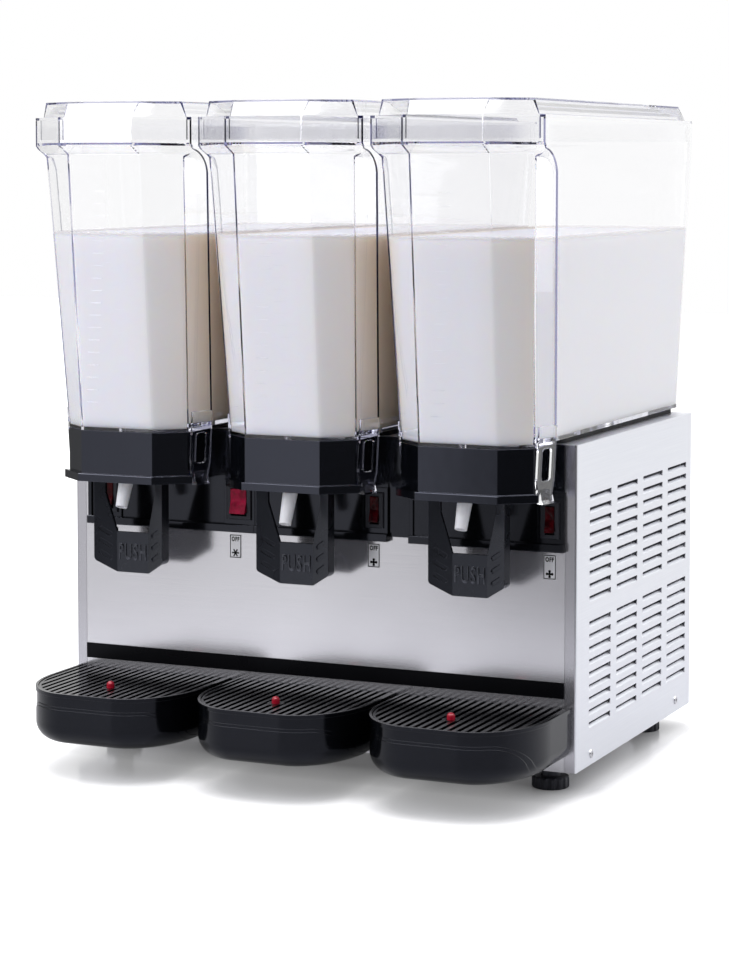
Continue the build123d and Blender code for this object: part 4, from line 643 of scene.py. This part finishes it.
# light caught in a wall's edge runs on until the moulding's haze lets it out, dimmer and more violet
CAUGHT_AFTER = 17.5
caught = add(tree, "Math", {0: path.outputs["Ray Depth"], 1: CAUGHT_AFTER}, operation="GREATER_THAN")
haze = add(tree, "BsdfTransparent", {"Color": linear("#aaaac8")})
edge = add(tree, "MixShader", {0: caught.outputs[0], 1: glass.outputs[0], 2: haze.outputs[0]})
wall = add(tree, "MixShader", {0: straight.outputs[0], 1: edge.outputs[0], 2: through.outputs[0]})
depth = add(tree, "VolumeAbsorption", {"Color": linear("#b0b2d0"), "Density": 2.2})
add(tree, "OutputMaterial", {"Surface": wall.outputs[0], "Volume": depth.outputs[0]})
for count in (1, 2, 3):
    dress(clear_plastic, f"tank_{count}", f"lid_{count}")

# The level marks: a ladder of short clear bars on each tank's leaning front face. They are cut in the
# tank's mould, so they are the tank's own polycarbonate and stand a little proud of it.
MARK_W, MARK_H, MARK_RISE, MARK_STEP, MARKS = 0.0135, 0.0009, 0.00035, 0.01265, 18
# the face leans out by FACE_OUT over FACE_UP, from its foot, in the drawing's millimetres
FACE_OUT, FACE_UP, FOOT_Y, FOOT_Z = 24.4, 280.6, -79.6, 334.0
MIDDLE_Y, COUNTER_Z = 123.0, 23.5
FACE_LEAN = math.atan2(FACE_OUT, FACE_UP)
bpy.ops.mesh.primitive_cube_add(size=1, location=(0, 0, MARK_RISE / 2))
mark = bpy.context.object
mark.scale = (MARK_W, MARK_H, MARK_RISE)
bpy.ops.object.transform_apply(location=True, scale=True)
choose(mark, "FACE", lambda f: f.normal.z > 0.9)
bpy.ops.mesh.bevel(offset=0.0002, segments=2)
bpy.ops.object.mode_set(mode="OBJECT")
ladder = mark.modifiers.new("ladder", "ARRAY")
ladder.use_relative_offset = False
ladder.use_constant_offset = True
ladder.constant_offset_displace = (0, -MARK_STEP, 0)
ladder.count = MARKS
bpy.ops.object.modifier_apply(modifier=ladder.name)
mark.data.materials.append(clear_plastic)
TOP_MARK, MARK_LEFT, MARK_OFF = 577.2, 0.0052, 0.00005
top_y = (FOOT_Y - FACE_OUT * (TOP_MARK - FOOT_Z) / FACE_UP - MIDDLE_Y) / 1000
top_z = (TOP_MARK + COUNTER_Z) / 1000
for count, x in enumerate((-0.19, 0.0, 0.19), 1):
    marks = set_out(mark, f"level_marks_{count}", (x - MARK_LEFT, top_y - MARK_OFF, top_z),
                    (math.pi / 2 - FACE_LEAN, 0, 0))
    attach(marks, f"tank_{count}")
bpy.data.objects.remove(mark)

# The drink: an opaque white milk drink that fills each tank to the same level. A thin film of it
# clings to the wall above the level and thins out upwards.
milk, tree = blank_material("white milk drink")
place = add(tree, "TexCoord")
swirl = add(tree, "TexNoise", {"Vector": place.outputs["Object"], "Scale": 1 / 0.09, "Detail": 2.0})
tint = add(tree, "ValToRGB", {"Fac": swirl.outputs["Fac"]})
tint.color_ramp.elements[0].color = linear("#fbf9f7")
tint.color_ramp.elements[1].color = linear("#fffdfb")
# painted warm shade: between two tanks and on the right-hand front corners, where light reaches the milk only
# through milk, the colour is mixed towards a warm beige
PITCH, OUTER = 0.19, 0.25
GAP_FROM, GAP_TO = 0.058, 0.085
CORNER_FROM, CORNER_TO, CORNER_SHARE = 0.016, 0.066, 0.42
split = add(tree, "SeparateXYZ", {0: place.outputs["Object"]})
turn = add(tree, "SeparateXYZ", {0: place.outputs["Normal"]})
across = add(tree, "Math", {0: split.outputs["X"], 1: PITCH / 2, 2: -PITCH / 2}, operation="WRAP")
off_middle = add(tree, "Math", {0: across.outputs[0]}, operation="ABSOLUTE")
off_centre = add(tree, "Math", {0: split.outputs["X"]}, operation="ABSOLUTE")
between = add(tree, "MapRange", {"Value": off_middle.outputs[0], "From Min": GAP_FROM, "From Max": GAP_TO})
inner = add(tree, "Math", {0: off_centre.outputs[0], 1: OUTER}, operation="LESS_THAN")
gap = add(tree, "Math", {0: between.outputs[0], 1: inner.outputs[0]}, operation="MULTIPLY")
corner = add(tree, "MapRange", {
    "Value": across.outputs[0], "From Min": CORNER_FROM, "From Max": CORNER_TO, "To Min": 0.0,
    "To Max": CORNER_SHARE})
ahead = add(tree, "MapRange", {"Value": turn.outputs["Y"], "From Min": -0.3, "From Max": -0.6})
shaded = add(tree, "Math", {0: corner.outputs[0], 1: ahead.outputs[0]}, operation="MULTIPLY")
warm_shade_mask = add(tree, "Math", {0: gap.outputs[0], 1: shaded.outputs[0]}, operation="MAXIMUM")
painted_warm_shade = add(tree, "Mix", {0: warm_shade_mask.outputs[0], 6: tint.outputs["Color"], 7: linear("#eedfc2")}, data_type="RGBA")
round_edge = add(tree, "Bevel", {"Radius": 0.009}, samples=8)
drink = add(tree, "BsdfPrincipled", {
    "Base Color": painted_warm_shade.outputs[2], "Roughness": 0.35, "IOR": 1.34, "Normal": round_edge.outputs[0],
    "Subsurface Weight": 0.6, "Subsurface Radius": (1.0, 0.75, 0.5), "Subsurface Scale": 0.014})
add(tree, "OutputMaterial", {"Surface": drink.outputs[0]})
FILM_H, FILM_T, LEVEL = 0.0035, 0.0001, 0.5565
milk_film, tree = blank_material("milk film")
place = add(tree, "TexCoord")
split = add(tree, "SeparateXYZ", {0: place.outputs["Object"]})
froth = add(tree, "TexNoise", {"Vector": place.outputs["Object"], "Scale": 1 / 0.004, "Detail": 3.0})
ragged = add(tree, "MapRange", {
    "Value": froth.outputs["Fac"], "From Min": 0.3, "From Max": 0.7, "To Min": -0.0004, "To Max": 0.0004})
height = add(tree, "Math", {0: split.outputs["Z"], 1: ragged.outputs[0]}, operation="ADD")
cover = add(tree, "MapRange", {
    "Value": height.outputs[0], "From Min": LEVEL - 0.0005, "From Max": LEVEL + FILM_H - 0.0008,
    "To Min": 0.9, "To Max": 0.0})
film = add(tree, "BsdfPrincipled", {
    "Base Color": linear("#faf6f0"), "Roughness": 0.4, "IOR": 1.34, "Alpha": cover.outputs[0]})
add(tree, "OutputMaterial", {"Surface": film.outputs[0]})
for count in (1, 2, 3):
    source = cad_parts[f"drink_{count}"]
    dress(milk, source.name)
    bpy.ops.object.select_all(action="DESELECT")
    band = bpy.data.objects.new(f"milk_film_{count}", source.data.copy())
    bpy.context.collection.objects.link(band)
    band.select_set(True)
    bpy.context.view_layer.objects.active = band
    bpy.ops.object.mode_set(mode="EDIT")
    bpy.ops.mesh.select_all(action="SELECT")
    bpy.ops.mesh.remove_doubles(threshold=0.00001)
    bpy.ops.object.mode_set(mode="OBJECT")
    choose(band, "FACE", lambda f: not (f.normal.z > 0.9 and f.center.z > LEVEL - 0.001))
    bpy.ops.mesh.delete(type="FACE")
    bpy.ops.mesh.select_all(action="SELECT")
    bpy.ops.mesh.region_to_loop()
    bpy.ops.object.mode_set(mode="OBJECT")
    rim = {edge.index for edge in band.data.edges if edge.select}
    choose(band, "EDGE", lambda e: e.index not in rim)
    bpy.ops.mesh.delete(type="EDGE")
    bpy.ops.mesh.select_all(action="SELECT")
    bpy.ops.mesh.extrude_region_move(TRANSFORM_OT_translate={"value": (0, 0, FILM_H)})
    bpy.ops.mesh.select_all(action="SELECT")
    bpy.ops.mesh.normals_make_consistent(inside=False)
    bpy.ops.object.mode_set(mode="OBJECT")
    skin = band.modifiers.new("film", "SOLIDIFY")
    skin.thickness = FILM_T
    skin.offset = -1
    bpy.ops.object.modifier_apply(modifier=skin.name)
    band.data.materials.clear()
    band.data.materials.append(milk_film)
    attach(band, f"tank_{count}")

# The stirrers: small impellers of food-grade acetal, moulded in one piece, a soft and faintly grey
# white. Each turns on a pin in its tank's floor, driven through the floor by the motor's magnets.
acetal, tree = blank_material("white acetal")
place = add(tree, "TexCoord")
mottle = add(tree, "TexNoise", {"Vector": place.outputs["Object"], "Scale": 1 / 0.01, "Detail": 2.0})
tint = add(tree, "ValToRGB", {"Fac": mottle.outputs["Fac"]})
tint.color_ramp.elements[0].color = linear("#e2e1dc")
tint.color_ramp.elements[1].color = linear("#ecebe7")
body = add(tree, "BsdfPrincipled", {"Base Color": tint.outputs["Color"], "Roughness": 0.4})
add(tree, "OutputMaterial", {"Surface": body.outputs[0]})
for count in (1, 2, 3):
    dress(acetal, f"stirrer_{count}")
